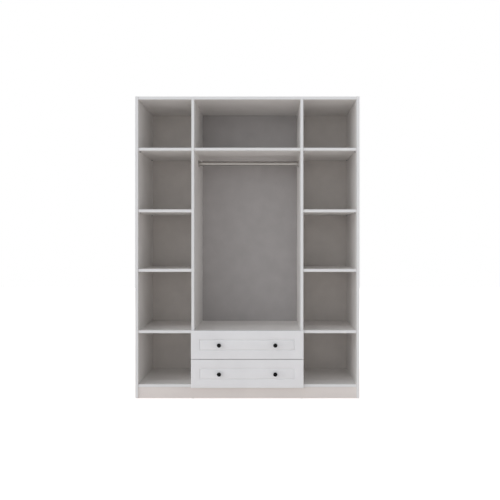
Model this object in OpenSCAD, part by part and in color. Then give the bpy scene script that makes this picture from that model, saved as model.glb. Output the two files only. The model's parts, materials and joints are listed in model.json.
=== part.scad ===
// An open-fronted wardrobe of white melamine-faced board: three bays, shelves on both
// sides, a hanging rail in the middle over two drawers on ball-bearing runners.
// Millimetres. The origin is on the floor under the centre of the whole box, +Z is up
// and the open front faces -Y.

/* [Carcass] */
// Clear width of each side bay
side_bay_w = 319.5; // [280:0.5:450]
// Clear width of the centre bay
centre_bay_w = 639; // [500:1:900]
// Height from the floor to the top
body_h = 1820; // [1720:5:2200]
// Depth of the carcass boards, without the back
body_d = 467; // [455:1:620]
// Thickness of the carcass boards
panel_t = 18; // [16:0.5:22]
// Setback of the fixed horizontal boards from the front edges of the uprights
board_setback = 3; // [0:0.5:10]
// Easing of the front arrises of every board
edge_ease = 0.8; // [0.3:0.1:1.5]

/* [Shelves] */
// Height of the underside of the lowest shelves and of the deck over the drawers
lower_shelf_z = 394; // [360:1:450]
// Height of the underside of the second shelves
middle_shelf_z = 763.5; // [700:0.5:820]
// Height of the underside of the third shelves
upper_shelf_z = 1122.5; // [1060:0.5:1200]
// Height of the underside of the top shelves and of the hat shelf
top_shelf_z = 1494; // [1400:1:1600]
// Gap between a loose shelf and the upright at each end
shelf_end_gap = 0.5; // [0.3:0.1:0.9]
// Setback of the shelves from the front edges of the uprights
shelf_setback = 4; // [0:0.5:20]
// Gap between the shelves and the back
shelf_back_gap = 0.5; // [0.3:0.1:0.9]

/* [Plinth] */
// Height of the plinth boards
plinth_h = 66; // [50:1:110]
// Setback of the front plinth from the front edges
plinth_setback = 4; // [0:0.5:40]
// Setback of the rear plinth from the rear edges
rear_plinth_setback = 30; // [10:1:60]
// Diameter of a nail-on floor glide
glide_d = 15; // [10:0.5:16]
// Height of a floor glide
glide_h = 3; // [2:0.5:6]
// Distance of the glides from the corners of the sides
glide_inset = 40; // [25:1:90]
// Edge length of a corner block under the bottom board
block_w = 22; // [20:1:28]
// Length of a corner block
block_len = 44; // [40:1:60]

/* [Back] */
// Thickness of the hardboard back
back_t = 3; // [2.5:0.5:5]
// Distance of the back from the outer faces of the carcass
back_edge = 1; // [0.5:0.5:4]
// Gap between neighbouring back sheets
back_joint = 0.5; // [0.3:0.1:1]
// Nails along each upright
nail_rows = 9; // [5:1:12]
// Length of a back nail
nail_len = 20; // [14:1:25]
// Diameter of a back nail
nail_d = 1.6; // [1.2:0.1:2]
// Diameter of the head of a back nail
nail_head_d = 4; // [3:0.1:5]

/* [Hanging rail] */
// Outer diameter of the rail
rail_d = 25; // [16:0.5:32]
// Wall of the rail tube
rail_wall = 1; // [0.8:0.1:2]
// Drop from the hat shelf to the centre of the rail
rail_drop = 49; // [35:1:90]
// Distance of the rail from the front edges
rail_inset = 236; // [180:1:300]
// Width of the flange round the collar of a rail socket
socket_flange = 8.5; // [8:0.5:14]
// Thickness of the base of a rail socket
socket_base_t = 3; // [2:0.5:5]
// Length of the collar of a rail socket
socket_len = 14; // [10:0.5:25]
// Wall of the collar of a rail socket
socket_wall = 2; // [1.5:0.1:3]

/* [Drawer fronts] */
// Thickness of a drawer front
front_t = 18; // [16:0.5:22]
// Gap between a closed front and the carcass
front_gap = 2; // [1:0.5:4]
// Gap between the two fronts
front_split = 3; // [2:0.5:6]
// Height of the edge of the deck that shows over the upper front
front_reveal = 0.5; // [0:0.5:9]
// Distance of the routed frame line from the edges of a front
groove_margin = 54; // [35:1:60]
// Width of the routed line at the face
groove_w = 7; // [4:0.5:12]
// Width of the routed line at its bottom
groove_floor_w = 3; // [1:0.5:3.5]
// Depth of the routed line
groove_depth = 2.5; // [1:0.5:4]

/* [Knobs] */
// Diameter of a knob
knob_d = 25; // [18:0.5:32]
// Projection of a knob from the front
knob_proj = 24; // [20:0.5:32]
// Distance between the two knobs of a drawer
knob_pitch = 336; // [150:1:440]
// Diameter of the foot of a knob
knob_foot_d = 13; // [11:0.5:16]
// Diameter of the neck of a knob
knob_neck_d = 9; // [8:0.5:11]
// Diameter of a knob screw
knob_screw_d = 4; // [3:0.5:5]

/* [Drawer boxes] */
// Thickness of the sides and the back of a drawer
drawer_side_t = 16; // [14:0.5:18]
// Length of a drawer box behind its front
drawer_len = 430; // [400:1:440]
// Height of a drawer box above the lower edge of its front
drawer_rise = 33; // [28:1:40]
// Drop from the top of a front to the top of the drawer side
drawer_drop = 26; // [20:1:40]
// Thickness of a drawer bottom
drawer_bottom_t = 3; // [3:0.5:5]
// Depth of the groove that holds a drawer bottom
bottom_groove = 6; // [4:0.5:8]
// Height of that groove above the lower edge of the side
bottom_rise = 10; // [7:0.5:14]
// Play of the bottom in its groove
bottom_play = 0.2; // [0.1:0.05:0.4]

/* [Ball runners] */
// Installed width of a runner
runner_w = 12.7; // [12.2:0.1:16]
// Height of a runner
runner_h = 45; // [42:0.5:50]
// Length of each runner member
runner_len = 400; // [350:5:410]
// Distance of the runner from the front edges of the carcass
runner_inset = 3; // [1:0.5:10]
// Height of the centre of a runner above the lower edge of the drawer side
runner_rise = 45; // [32:0.5:50]
// Thickness of the sheet in the webs
web_t = 1.2; // [1:0.1:1.4]
// Thickness of a race flange of the outer and inner members
race_t = 1.8; // [1.4:0.1:2.2]
// Thickness of the double race flange of the middle member
double_race_t = 2.2; // [1.8:0.1:2.6]
// Depth of a ball groove
race_groove = 0.6; // [0.3:0.05:0.8]
// Diameter of a ball
ball_d = 4; // [3.5:0.1:4.5]
// Radial play of a ball in its groove
ball_play = 0.1; // [0.06:0.01:0.2]
// Number of balls in a row
ball_count = 8; // [4:1:12]
// Distance of the ball rows from the outer web's back
ball_line = 7; // [6.6:0.1:7.4]
// Space between the webs for a ball cage
web_gap = 1; // [0.9:0.05:1.2]
// Thickness of a ball cage
cage_t = 0.5; // [0.4:0.05:0.6]
// Length of a ball cage
cage_len = 160; // [120:5:200]

/* [Fittings] */
// Diameter of a cam lock
cam_d = 15; // [12:0.5:18]
// Distance from the joint to the centre of a cam lock
cam_setback = 24; // [20:0.5:34]
// Distance of the cam locks from the front and rear edges
cam_inset = 60; // [50:1:90]
// Spacing between a cam lock and its dowel
cam_dowel_pitch = 32; // [20:1:50]
// Thread diameter of a cam bolt
bolt_d = 5; // [4:0.5:6]
// Depth of a cam bolt in the upright
bolt_in = 11; // [8:0.5:12]
// Diameter of a dowel
dowel_d = 8; // [6:0.5:8]
// Length of a dowel
dowel_len = 30; // [25:1:40]
// Depth of a dowel in the upright
dowel_in = 11; // [8:0.5:12]
// Diameter of a shelf pin
pin_d = 5; // [4:0.5:6]
// Distance of the drawer cam locks from the lower and upper edges of the drawer sides
drawer_cam_inset = 30; // [27:1:36]
// Depth of a shelf pin in the upright
pin_in = 9; // [6:0.5:10]
// Reach of a shelf pin under the shelf
pin_out = 9; // [6:0.5:12]
// Distance of the shelf pins from the front and rear edges
pin_inset = 42; // [30:1:48]
// Diameter of the chipboard screws
screw_d = 4; // [3:0.5:4.5]
// Head diameter of the chipboard screws
screw_head_d = 7; // [6:0.5:7.5]
// Length of the chipboard screws
screw_len = 14; // [12:0.5:15]
// Radial play of a fitting in its hole
fit = 0.05; // [0.03:0.01:0.1]

/* [Hidden] */
$fn = 48;

melamine = [0.86, 0.86, 0.87];
hardboard = [0.80, 0.80, 0.80];
plastic_white = [0.92, 0.92, 0.90];
zinc = [0.72, 0.72, 0.70];
chrome = [0.80, 0.81, 0.83];
steel = [0.66, 0.68, 0.70];
beech = [0.80, 0.66, 0.46];
black = [0.03, 0.03, 0.03];

over = 1;                      // how far a cut runs past a face
LOWER = 0;
UPPER = 1;

// Widths, from the bays outwards
inner_w = 2 * side_bay_w + centre_bay_w + 2 * panel_t;
body_w = inner_w + 2 * panel_t;
side_x = (inner_w + panel_t) / 2;
divider_x = (centre_bay_w + panel_t) / 2;
bay_x = divider_x + (panel_t + side_bay_w) / 2;

// Depths, from the knobs to the back
overall_d = knob_proj + front_t + front_gap + body_d + back_t;
y_front = knob_proj - overall_d / 2;
y_edge = y_front + front_t + front_gap;
y_rear = y_edge + body_d;
y_back = y_rear + back_t;

// Heights
bottom_z = glide_h + plinth_h;
floor_z = bottom_z + panel_t;
ceiling_z = body_h - panel_t;
deck_top_z = lower_shelf_z + panel_t;
shelf_heights = [lower_shelf_z, middle_shelf_z, upper_shelf_z, top_shelf_z];

// Drawers
front_w = centre_bay_w + 2 * panel_t;
front_h = (deck_top_z - front_reveal - bottom_z - front_split) / 2;
box_w = centre_bay_w - 2 * runner_w;
box_inner_w = box_w - 2 * drawer_side_t;
box_h = front_h - drawer_rise - drawer_drop;
y_box = y_edge - front_gap;
bottom_slot_h = drawer_bottom_t + 2 * bottom_play;
bottom_lap = bottom_groove - bottom_play;
function front_z(i) = bottom_z + i * (front_h + front_split);
function box_z(i) = front_z(i) + drawer_rise;
function runner_z(i) = box_z(i) + runner_rise;

// Joints between boards: x, z, how the board that holds the cam runs, and how far it is
// turned about that direction so that the cam opens on the hidden face
cam_ys = [y_edge + cam_inset, y_rear - cam_inset];
dowel_ys = [cam_ys[0] + cam_dowel_pitch, cam_ys[1] - cam_dowel_pitch];
function end_joints(half, z, turn) =
    [for (s = [-1, 1]) [s * half, z, [0, 0, s < 0 ? 0 : 180], turn]];
function divider_joints(s) = [
    [s * divider_x, floor_z, [0, -90, 0], s > 0 ? 0 : 180],
    [s * divider_x, ceiling_z, [0, 90, 0], s > 0 ? 180 : 0]
];
top_joints = end_joints(inner_w / 2, ceiling_z + panel_t / 2, 180);
bottom_joints = end_joints(inner_w / 2, bottom_z + panel_t / 2, 0);
hat_joints = end_joints(centre_bay_w / 2, top_shelf_z + panel_t / 2, 180);
deck_joints = end_joints(centre_bay_w / 2, lower_shelf_z + panel_t / 2, 0);
left_divider_joints = divider_joints(-1);
right_divider_joints = divider_joints(1);
all_joints = concat(top_joints, bottom_joints, hat_joints, deck_joints,
                    left_divider_joints, right_divider_joints);

// Plinth boards: y of the centre plane, and the dowels in their ends
plinth_ys = [y_edge + plinth_setback + panel_t / 2, y_rear - rear_plinth_setback - panel_t / 2];
plinth_dowel_zs = [glide_h + plinth_h / 2 - dowel_d * 1.75, glide_h + plinth_h / 2 + dowel_d * 1.75];
block_xs = [-bay_x, 0, bay_x];

// Nails, as [x, z]
nail_end = 30;
nail_head_t = 0.6;
nail_zs = [for (i = [0 : nail_rows - 1])
    bottom_z + nail_end + i * (body_h - bottom_z - 2 * nail_end) / (nail_rows - 1)];
board_nail_xs = [-bay_x, -centre_bay_w / 4, 0, centre_bay_w / 4, bay_x];
centre_nail_xs = [-centre_bay_w / 4, 0, centre_bay_w / 4];
function upright_nails(x) = [for (z = nail_zs) [x, z]];
function board_nails(xs, z) = [for (x = xs) [x, z]];
function divider_nails(s) = concat(upright_nails(s * (divider_x - panel_t / 4)),
                                   upright_nails(s * (divider_x + panel_t / 4)));
top_nails = board_nails(board_nail_xs, ceiling_z + panel_t / 2);
bottom_nails = board_nails(board_nail_xs, bottom_z + panel_t / 2);
hat_nails = board_nails(centre_nail_xs, top_shelf_z + panel_t / 2);
deck_nails = board_nails(centre_nail_xs, lower_shelf_z + panel_t / 2);
all_nails = concat(upright_nails(-side_x), upright_nails(side_x), divider_nails(-1),
                   divider_nails(1), top_nails, bottom_nails, hat_nails, deck_nails);

// Hanging rail
rail_y = y_edge + rail_inset;
rail_z = top_shelf_z - rail_drop;
rail_play = 0.2;
rail_end_gap = 0.5;
socket_r = rail_d / 2 + rail_play + socket_wall;
socket_base_r = socket_r + socket_flange;
socket_screw_r = socket_r + socket_flange / 2;

// Ball runner section: u runs from the upright to the drawer, v from the runner's centre
race_r = ball_d / 2 + ball_play;
race_half = sqrt(2 * race_r * race_groove - race_groove * race_groove);
race_lip = 0.9;
race_tip = ball_line + race_half + race_lip;
outer_v = runner_h / 2;
outer_ball_v = outer_v - race_t + race_groove - race_r;
middle_v = outer_ball_v - race_r + race_groove;
inner_ball_v = middle_v - double_race_t + race_groove - race_r;
inner_v = inner_ball_v - race_r + race_groove;
middle_u = web_t + web_gap;
outer_cage_u = web_t + (web_gap - cage_t) / 2;
inner_cage_u = middle_u + web_t + (web_gap - cage_t) / 2;
inner_tip_u = inner_cage_u + cage_t + 0.3;
cage_half_t = cage_t / 2;
runner_y = y_edge + runner_inset;
runner_screw_steps = [35, 90, runner_len - 35];
access_hole_d = screw_head_d + 3;
cage_y = (runner_len - cage_len) / 2;
ball_pitch = cage_len / ball_count;
runner_bend_r = 0.8;
runner_bend_steps = 3;
runner_stop_w = 20;
runner_stop_gap = 0.3;

// Details of the fittings
screw_rim = 0.3;
screw_tip = 4;
nail_tip = 2;
cam_under = 4;
cam_play = 0.2;
cam_slot_l = 9;
cam_slot_w = 2;
cam_slot_h = 2;
end_bore_r = 4;
bolt_neck_r = 2;
bolt_head_r = 2.8;
bolt_head_l = 4;
dowel_ease = 1;
pin_drop = 0.5;
pin_tongue_w = 8;
pin_tongue_t = 2;
pin_web_t = 3;
pin_ys = [y_edge + pin_inset, y_rear - pin_inset];
glide_ease = 0.6;
glide_nail_r = 1;
glide_nail_len = 12;
block_wall = 3;
block_screw_x = 8;
block_screw_in = 12;
socket_ease = 0.8;
cage_margin = 1;
front_ease = 3;
knob_foot_h = 2;
knob_head_t = 9;
knob_rim_r = 4;
knob_dome = 1;
knob_ease = 0.8;
knob_screw_in = 12;
pan_head_h = 2.4;
bottom_screw_pitch = 200;
drawer_side_x = (box_inner_w + drawer_side_t) / 2;
drawer_back_y = y_box + drawer_len - drawer_side_t / 2;
function drawer_cam_zs(i) = [box_z(i) + drawer_cam_inset, box_z(i) + box_h - drawer_cam_inset];

// Shared shapes
module along_x() { rotate([0, 90, 0]) children(); }

// A standing board: centre plane x, from z0 to z1, front edge at y, with eased arrises
module upright(x, z0, z1, y, d, t) {
    translate([x - t / 2, y, z0])
        linear_extrude(z1 - z0)
            polygon([[edge_ease, 0], [t - edge_ease, 0], [t, edge_ease], [t, d], [0, d], [0, edge_ease]]);
}

// A lying board: from x0 to x1, underside at z, front edge at y, with eased arrises
module lying(x0, x1, z, y, d, t) {
    translate([x0, y, z]) rotate([90, 0, 90])
        linear_extrude(x1 - x0)
            polygon([[0, edge_ease], [edge_ease, 0], [d, 0], [d, t], [edge_ease, t], [0, t - edge_ease]]);
}

// A block that tapers evenly from w0 x h0 at y = 0 to w1 x h1 at y = depth
module tapered_block(w0, h0, w1, h1, depth) {
    w = max(w0, w1);
    h = max(h0, h1);
    intersection() {
        translate([0, 0, -h / 2])
            linear_extrude(h)
                polygon([[-w0 / 2, 0], [w0 / 2, 0], [w1 / 2, depth], [-w1 / 2, depth]]);
        translate([-w / 2, 0, 0]) rotate([90, 0, 90])
            linear_extrude(w)
                polygon([[0, -h0 / 2], [depth, -h1 / 2], [depth, h1 / 2], [0, h0 / 2]]);
    }
}

// Points of an arc about (x, y), from angle a0 to a1
function arc(x, y, r, a0, a1, steps = 6) =
    [for (i = [0 : steps]) let (a = a0 + (a1 - a0) * i / steps) [x + r * cos(a), y + r * sin(a)]];

// A countersunk screw that runs along +Z from the rim of its head
module screw(grow = 0, lead = 0) {
    head_r = screw_head_d / 2 + grow;
    shank_r = screw_d / 2 + grow;
    cone_h = (screw_head_d - screw_d) / 2;
    rotate_extrude()
        polygon([[0, -lead], [head_r, -lead], [head_r, screw_rim], [shank_r, screw_rim + cone_h],
                 [shank_r, screw_len - screw_tip], [0, screw_len + grow]]);
}

// A flat-headed nail that runs along +Z from the face of its head
module nail(grow = 0, lead = 0) {
    head_r = nail_head_d / 2 + grow;
    shank_r = nail_d / 2 + grow;
    rotate_extrude()
        polygon([[0, -lead], [head_r, -lead], [head_r, nail_head_t], [shank_r, nail_head_t],
                 [shank_r, nail_len - nail_tip], [0, nail_len + grow]]);
}

// Joints, drawn with the joint plane at x = 0 and the board that holds the cam on +X
module at_joints(joints, ys) {
    for (j = joints, y = ys)
        translate([j[0], y, j[1]]) rotate(j[2]) rotate([j[3], 0, 0]) children();
}

module cam_lock(t) {
    difference() {
        translate([cam_setback, 0, -t / 2]) cylinder(d = cam_d, h = t / 2 + cam_under);
        along_x() cylinder(r = bolt_head_r + cam_play, h = cam_setback + bolt_head_l);
        translate([cam_setback - cam_slot_l / 2, -cam_slot_w / 2, -t / 2 - over])
            cube([cam_slot_l, cam_slot_w, over + cam_slot_h]);
        translate([cam_setback - cam_slot_w / 2, -cam_slot_l / 2, -t / 2 - over])
            cube([cam_slot_w, cam_slot_l, over + cam_slot_h]);
    }
}

module cam_bolt() {
    neck_end = cam_setback - bolt_head_l / 2;
    head_end = cam_setback + bolt_head_l / 2;
    along_x() rotate_extrude()
        polygon([[0, -bolt_in], [bolt_d / 2, -bolt_in], [bolt_d / 2, 0], [bolt_neck_r, 0],
                 [bolt_neck_r, neck_end], [bolt_head_r, neck_end], [bolt_head_r, head_end], [0, head_end]]);
}

module cam_pocket(t) {
    translate([cam_setback, 0, -t / 2 - over])
        cylinder(r = cam_d / 2 + fit, h = over + t / 2 + cam_under + fit);
    translate([-over, 0, 0]) along_x() cylinder(r = end_bore_r, h = cam_setback + over);
}

module bolt_pilot() {
    translate([-bolt_in - fit, 0, 0]) along_x()
        cylinder(r = bolt_d / 2 + fit, h = bolt_in + fit + over);
}

module dowel(grow = 0) {
    r = dowel_d / 2 + grow;
    z0 = -dowel_in - grow;
    z1 = dowel_len - dowel_in + grow;
    along_x() rotate_extrude()
        polygon([[0, z0], [r - dowel_ease, z0], [r, z0 + dowel_ease], [r, z1 - dowel_ease],
                 [r - dowel_ease, z1], [0, z1]]);
}

module board_end_cuts(joints, t = panel_t) {
    at_joints(joints, cam_ys) cam_pocket(t);
    at_joints(joints, dowel_ys) dowel(fit);
}

module upright_cuts(joints) {
    at_joints(joints, cam_ys) bolt_pilot();
    at_joints(joints, dowel_ys) dowel(fit);
}

// Dowels in the ends of the plinth boards
module at_plinth_dowels() {
    for (s = [-1, 1], y = plinth_ys, z = plinth_dowel_zs)
        translate([s * inner_w / 2, y, z]) rotate([0, 0, s < 0 ? 0 : 180]) children();
}

// Nails, each as the rectangle of the rear view that it has to lie in
function nails_in(x0, x1, z0, z1) =
    [for (n = all_nails) if (n[0] > x0 && n[0] < x1 && n[1] > z0 && n[1] < z1) n];

module at_nails(nails) {
    for (n = nails) translate([n[0], y_back, n[1]]) rotate([90, 0, 0]) children();
}

module nail_cuts(x0, x1, z0, z1) {
    at_nails(nails_in(x0, x1, z0, z1)) nail(fit, over);
}

// Shelf pins: the places on the face at x, with the reach towards side s
module at_pins(x, s) {
    for (z = shelf_heights, y = pin_ys)
        translate([x, y, z]) rotate([0, 0, s > 0 ? 0 : 180]) children();
}

module shelf_pin() {
    translate([-pin_in, 0, -pin_d / 2 - pin_drop]) along_x() cylinder(d = pin_d, h = pin_in);
    translate([0, -pin_tongue_w / 2, -pin_tongue_t]) cube([pin_out, pin_tongue_w, pin_tongue_t]);
    translate([0, pin_web_t / 2, 0]) rotate([90, 0, 0])
        linear_extrude(pin_web_t)
            polygon([[0, -pin_tongue_t], [pin_out, -pin_tongue_t], [0, -pin_d - 2 * pin_drop]]);
}

module pin_hole() {
    translate([-pin_in - fit, 0, -pin_d / 2 - pin_drop]) along_x()
        cylinder(r = pin_d / 2 + fit, h = pin_in + fit + over);
}

// Floor glides: at each corner of the sides, and under the plinths in line with the dividers
module at_glides() {
    for (s = [-1, 1]) {
        for (y = [y_edge + glide_inset, y_rear - glide_inset]) translate([s * side_x, y, 0]) children();
        for (y = plinth_ys) translate([s * divider_x, y, 0]) children();
    }
}

module glide() {
    rotate_extrude()
        polygon([[0, 0], [glide_d / 2 - glide_ease, 0], [glide_d / 2, glide_ease], [glide_d / 2, glide_h],
                 [glide_nail_r, glide_h], [glide_nail_r, glide_h + glide_nail_len - nail_tip],
                 [0, glide_h + glide_nail_len]]);
}

module glide_hole() {
    translate([0, 0, glide_h - over]) cylinder(r = glide_nail_r + fit, h = over + glide_nail_len + fit);
}

// Corner blocks: origin where the plinth's inner face meets the bottom board
module at_blocks() {
    for (x = block_xs) {
        translate([x, plinth_ys[0] + panel_t / 2, bottom_z]) children();
        translate([x, plinth_ys[1] - panel_t / 2, bottom_z]) mirror([0, 1, 0]) children();
    }
}

module corner_block() {
    difference() {
        union() {
            translate([-block_len / 2, 0, 0]) rotate([90, 0, 90])
                linear_extrude(block_len)
                    polygon([[0, 0], [0, -block_w], [block_wall, -block_w], [block_wall, -block_wall],
                             [block_w, -block_wall], [block_w, 0]]);
            for (x = [-block_len / 2, block_len / 2 - block_wall])
                translate([x, 0, 0]) rotate([90, 0, 90])
                    linear_extrude(block_wall) polygon([[0, 0], [0, -block_w], [block_w, 0]]);
        }
        at_block_screws() screw(fit, over);
    }
}

module at_block_screws() {
    translate([-block_screw_x, block_screw_in, -block_wall]) children();
    translate([block_screw_x, block_wall, -block_screw_in]) rotate([90, 0, 0]) children();
}

// Rail sockets, drawn with the base on the divider and the rail on +X
module rail_socket() {
    difference() {
        along_x() rotate_extrude()
            polygon([[rail_d / 2 + rail_play, 0], [socket_base_r, 0],
                     [socket_base_r, socket_base_t - socket_ease],
                     [socket_base_r - socket_ease, socket_base_t],
                     [socket_r, socket_base_t], [socket_r, socket_len - socket_ease],
                     [socket_r - socket_ease, socket_len], [rail_d / 2 + rail_play, socket_len]]);
        at_socket_screws() screw(fit, over);
    }
}

module at_socket_screws() {
    for (a = [90, 210, 330])
        rotate([a, 0, 0]) translate([socket_base_t, socket_screw_r, 0]) rotate([0, -90, 0]) children();
}

module at_sockets(sides = [-1, 1]) {
    for (s = sides)
        translate([s * centre_bay_w / 2, rail_y, rail_z]) rotate([0, 0, s < 0 ? 0 : 180]) children();
}

// Ball runners, drawn with u on +X from the upright's face and v on +Z
module at_runners(i) {
    for (s = [-1, 1])
        translate([s * centre_bay_w / 2, runner_y, runner_z(i)]) mirror([s > 0 ? 1 : 0, 0, 0]) children();
}

module runner_length(y, l) {
    translate([0, y + l, 0]) rotate([90, 0, 0]) linear_extrude(l) children();
}

module channel(u0, u1, v, web, flange) {
    s = u0 < u1 ? 1 : -1;
    bend = [for (k = [0 : runner_bend_steps]) let (a = 90 * k / runner_bend_steps)
        runner_bend_r * [s * (1 - sin(a)), 1 - cos(a)]];
    polygon(concat([for (k = [runner_bend_steps : -1 : 0]) [u0, -v] + bend[k]],
                   [[u1, -v], [u1, flange - v], [u0 + s * web, flange - v],
                    [u0 + s * web, v - flange], [u1, v - flange], [u1, v]],
                   [for (b = bend) [u0 + b[0], v - b[1]]]));
}

module races(v) {
    for (s = [-1, 1]) translate([ball_line, s * v]) circle(r = race_r);
}

module outer_member() {
    difference() {
        runner_length(0, runner_len) difference() {
            channel(0, race_tip, outer_v, web_t, race_t);
            races(outer_ball_v);
        }
        at_cabinet_screws() screw(fit, over);
    }
    rear_stop();
}

// A tab turned in from the web behind the cabinet's member, which the middle one meets when shut
module rear_stop() {
    translate([0, runner_len - over, -runner_stop_w / 2])
        cube([web_t, over + runner_stop_gap + web_t, runner_stop_w]);
    translate([0, runner_len + runner_stop_gap, -runner_stop_w / 2])
        cube([race_tip, web_t, runner_stop_w]);
}

module middle_member() {
    difference() {
        runner_length(0, runner_len) difference() {
            channel(middle_u, race_tip, middle_v, web_t, double_race_t);
            races(outer_ball_v);
            races(inner_ball_v);
        }
        for (y = runner_screw_steps)
            translate([middle_u - web_gap / 2, y, 0]) along_x()
                cylinder(d = access_hole_d, h = web_gap + web_t);
    }
}

module inner_member() {
    difference() {
        runner_length(0, runner_len) difference() {
            channel(runner_w, inner_tip_u, inner_v, web_t, race_t);
            races(inner_ball_v);
        }
        at_drawer_runner_screws() screw(fit, over);
    }
}

module at_cabinet_screws() {
    for (y = runner_screw_steps) translate([web_t, y, 0]) rotate([0, -90, 0]) children();
}

module at_drawer_runner_screws() {
    for (y = runner_screw_steps) translate([runner_w - web_t, y, 0]) along_x() children();
}

module ball_cage(u, v) {
    runner_length(cage_y, cage_len)
        channel(u, ball_line + ball_d / 2 + cage_margin, v + cage_half_t, cage_t, cage_t);
    for (k = [0 : ball_count - 1], s = [-1, 1])
        translate([ball_line, cage_y + (k + 0.5) * ball_pitch, s * v]) sphere(d = ball_d);
}

module outer_cages(i) {
    color(steel) at_runners(i) ball_cage(outer_cage_u, outer_ball_v);
}

module inner_cages(i) {
    color(steel) at_runners(i) ball_cage(inner_cage_u, inner_ball_v);
}

// Carcass
module side(s) {
    x = s * side_x;
    color(melamine) difference() {
        upright(x, glide_h, body_h, y_edge, body_d, panel_t);
        upright_cuts([for (j = all_joints) if (abs(j[0] - s * inner_w / 2) < 1) j]);
        at_plinth_dowels() dowel(fit);
        at_pins(s * inner_w / 2, -s) pin_hole();
        at_glides() glide_hole();
        nail_cuts(x - panel_t / 2, x + panel_t / 2, glide_h, body_h);
    }
}

module divider(s) {
    x = s * divider_x;
    color(melamine) difference() {
        upright(x, floor_z, ceiling_z, y_edge, body_d, panel_t);
        board_end_cuts(divider_joints(s));
        upright_cuts([for (j = concat(hat_joints, deck_joints)) if (j[0] * s > 0) j]);
        at_pins(s * (divider_x + panel_t / 2), s) pin_hole();
        at_sockets([s]) at_socket_screws() screw(fit, over);
        for (i = [LOWER, UPPER]) at_runners(i) at_cabinet_screws() screw(fit, over);
        nail_cuts(x - panel_t / 2, x + panel_t / 2, floor_z, ceiling_z);
    }
}

module fixed_board(half, z) {
    lying(-half, half, z, y_edge + board_setback, body_d - board_setback, panel_t);
}

module top_panel() {
    color(melamine) difference() {
        fixed_board(inner_w / 2, ceiling_z);
        board_end_cuts(top_joints);
        upright_cuts([left_divider_joints[1], right_divider_joints[1]]);
        nail_cuts(-inner_w / 2, inner_w / 2, ceiling_z, body_h);
    }
}

module bottom_panel() {
    color(melamine) difference() {
        fixed_board(inner_w / 2, bottom_z);
        board_end_cuts(bottom_joints);
        upright_cuts([left_divider_joints[0], right_divider_joints[0]]);
        at_blocks() at_block_screws() screw(fit, over);
        nail_cuts(-inner_w / 2, inner_w / 2, bottom_z, floor_z);
    }
}

module centre_board(joints, z) {
    color(melamine) difference() {
        fixed_board(centre_bay_w / 2, z);
        board_end_cuts(joints);
        nail_cuts(-centre_bay_w / 2, centre_bay_w / 2, z, z + panel_t);
    }
}

module loose_shelf(s, z) {
    half = side_bay_w / 2 - shelf_end_gap;
    depth = body_d - shelf_setback - shelf_back_gap;
    color(melamine)
        lying(s * bay_x - half, s * bay_x + half, z, y_edge + shelf_setback, depth, panel_t);
}

module plinth(y) {
    color(melamine) difference() {
        lying(-inner_w / 2, inner_w / 2, glide_h, y - panel_t / 2, panel_t, plinth_h);
        at_plinth_dowels() dowel(fit);
        at_glides() glide_hole();
        at_blocks() at_block_screws() screw(fit, over);
    }
}

// The back sheets meet in line with the dividers
module side_back(s) {
    inner = divider_x + back_joint / 2;
    outer = body_w / 2 - back_edge;
    back_sheet(s < 0 ? -outer : inner, s < 0 ? -inner : outer);
}

module centre_back() {
    half = divider_x - back_joint / 2;
    back_sheet(-half, half);
}

module back_sheet(x0, x1) {
    z0 = bottom_z + back_edge;
    z1 = body_h - back_edge;
    color(hardboard) difference() {
        translate([x0, y_rear, z0]) cube([x1 - x0, back_t, z1 - z0]);
        nail_cuts(x0, x1, z0, z1);
    }
}

module hanging_rail() {
    length = centre_bay_w - 2 * rail_end_gap;
    color(chrome) translate([-length / 2, rail_y, rail_z]) along_x() difference() {
        cylinder(d = rail_d, h = length);
        translate([0, 0, -over]) cylinder(r = rail_d / 2 - rail_wall, h = length + 2 * over);
    }
}

// Drawers
function front_joints(i) =
    [for (s = [-1, 1], z = drawer_cam_zs(i)) [s * drawer_side_x, z, [0, 0, 90], s * 90]];
function rear_joints(i) =
    [for (s = [-1, 1], z = drawer_cam_zs(i)) [s * box_inner_w / 2, z, [0, 0, s < 0 ? 0 : 180], -s * 90]];

// The front before routing: its face and its edges eased along all four sides
module front_blank() {
    intersection() {
        translate([-front_w / 2, 0, 0]) eased_slab(front_w, front_h);
        translate([-front_w / 2, 0, front_h]) rotate([0, 90, 0]) eased_slab(front_h, front_w);
    }
}

// A slab l long on +X and w high on +Z, with arcs along its two long front edges
module eased_slab(l, w) {
    rotate([90, 0, 90])
        linear_extrude(l)
            polygon(concat(arc(front_ease, front_ease, front_ease, 180, 270),
                           [[front_t, 0], [front_t, w]],
                           arc(front_ease, w - front_ease, front_ease, 90, 180)));
}

module frame_line() {
    slope = (groove_w - groove_floor_w) / 2 / groove_depth;
    outer_x = front_w - 2 * groove_margin + groove_w;
    outer_z = front_h - 2 * groove_margin + groove_w;
    inner_x = outer_x - 2 * groove_w;
    inner_z = outer_z - 2 * groove_w;
    lead = 2 * slope * over;
    fall = 2 * slope * groove_depth;
    translate([0, -over, front_h / 2]) difference() {
        tapered_block(outer_x + lead, outer_z + lead, outer_x - fall, outer_z - fall, groove_depth + over);
        translate([0, -over, 0])
            tapered_block(inner_x - 2 * lead, inner_z - 2 * lead, inner_x + fall + lead,
                          inner_z + fall + lead, groove_depth + 3 * over);
    }
}

module drawer_front(i) {
    color(melamine) difference() {
        translate([0, y_front, front_z(i)]) difference() {
            front_blank();
            frame_line();
        }
        at_joints(front_joints(i), [y_box]) bolt_pilot();
        at_knob_screws(i) knob_screw(fit, over);
        translate([-box_inner_w / 2 - bottom_groove, y_box - bottom_groove, box_z(i) + bottom_rise])
            cube([box_inner_w + 2 * bottom_groove, bottom_groove + over, bottom_slot_h]);
    }
}

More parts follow.
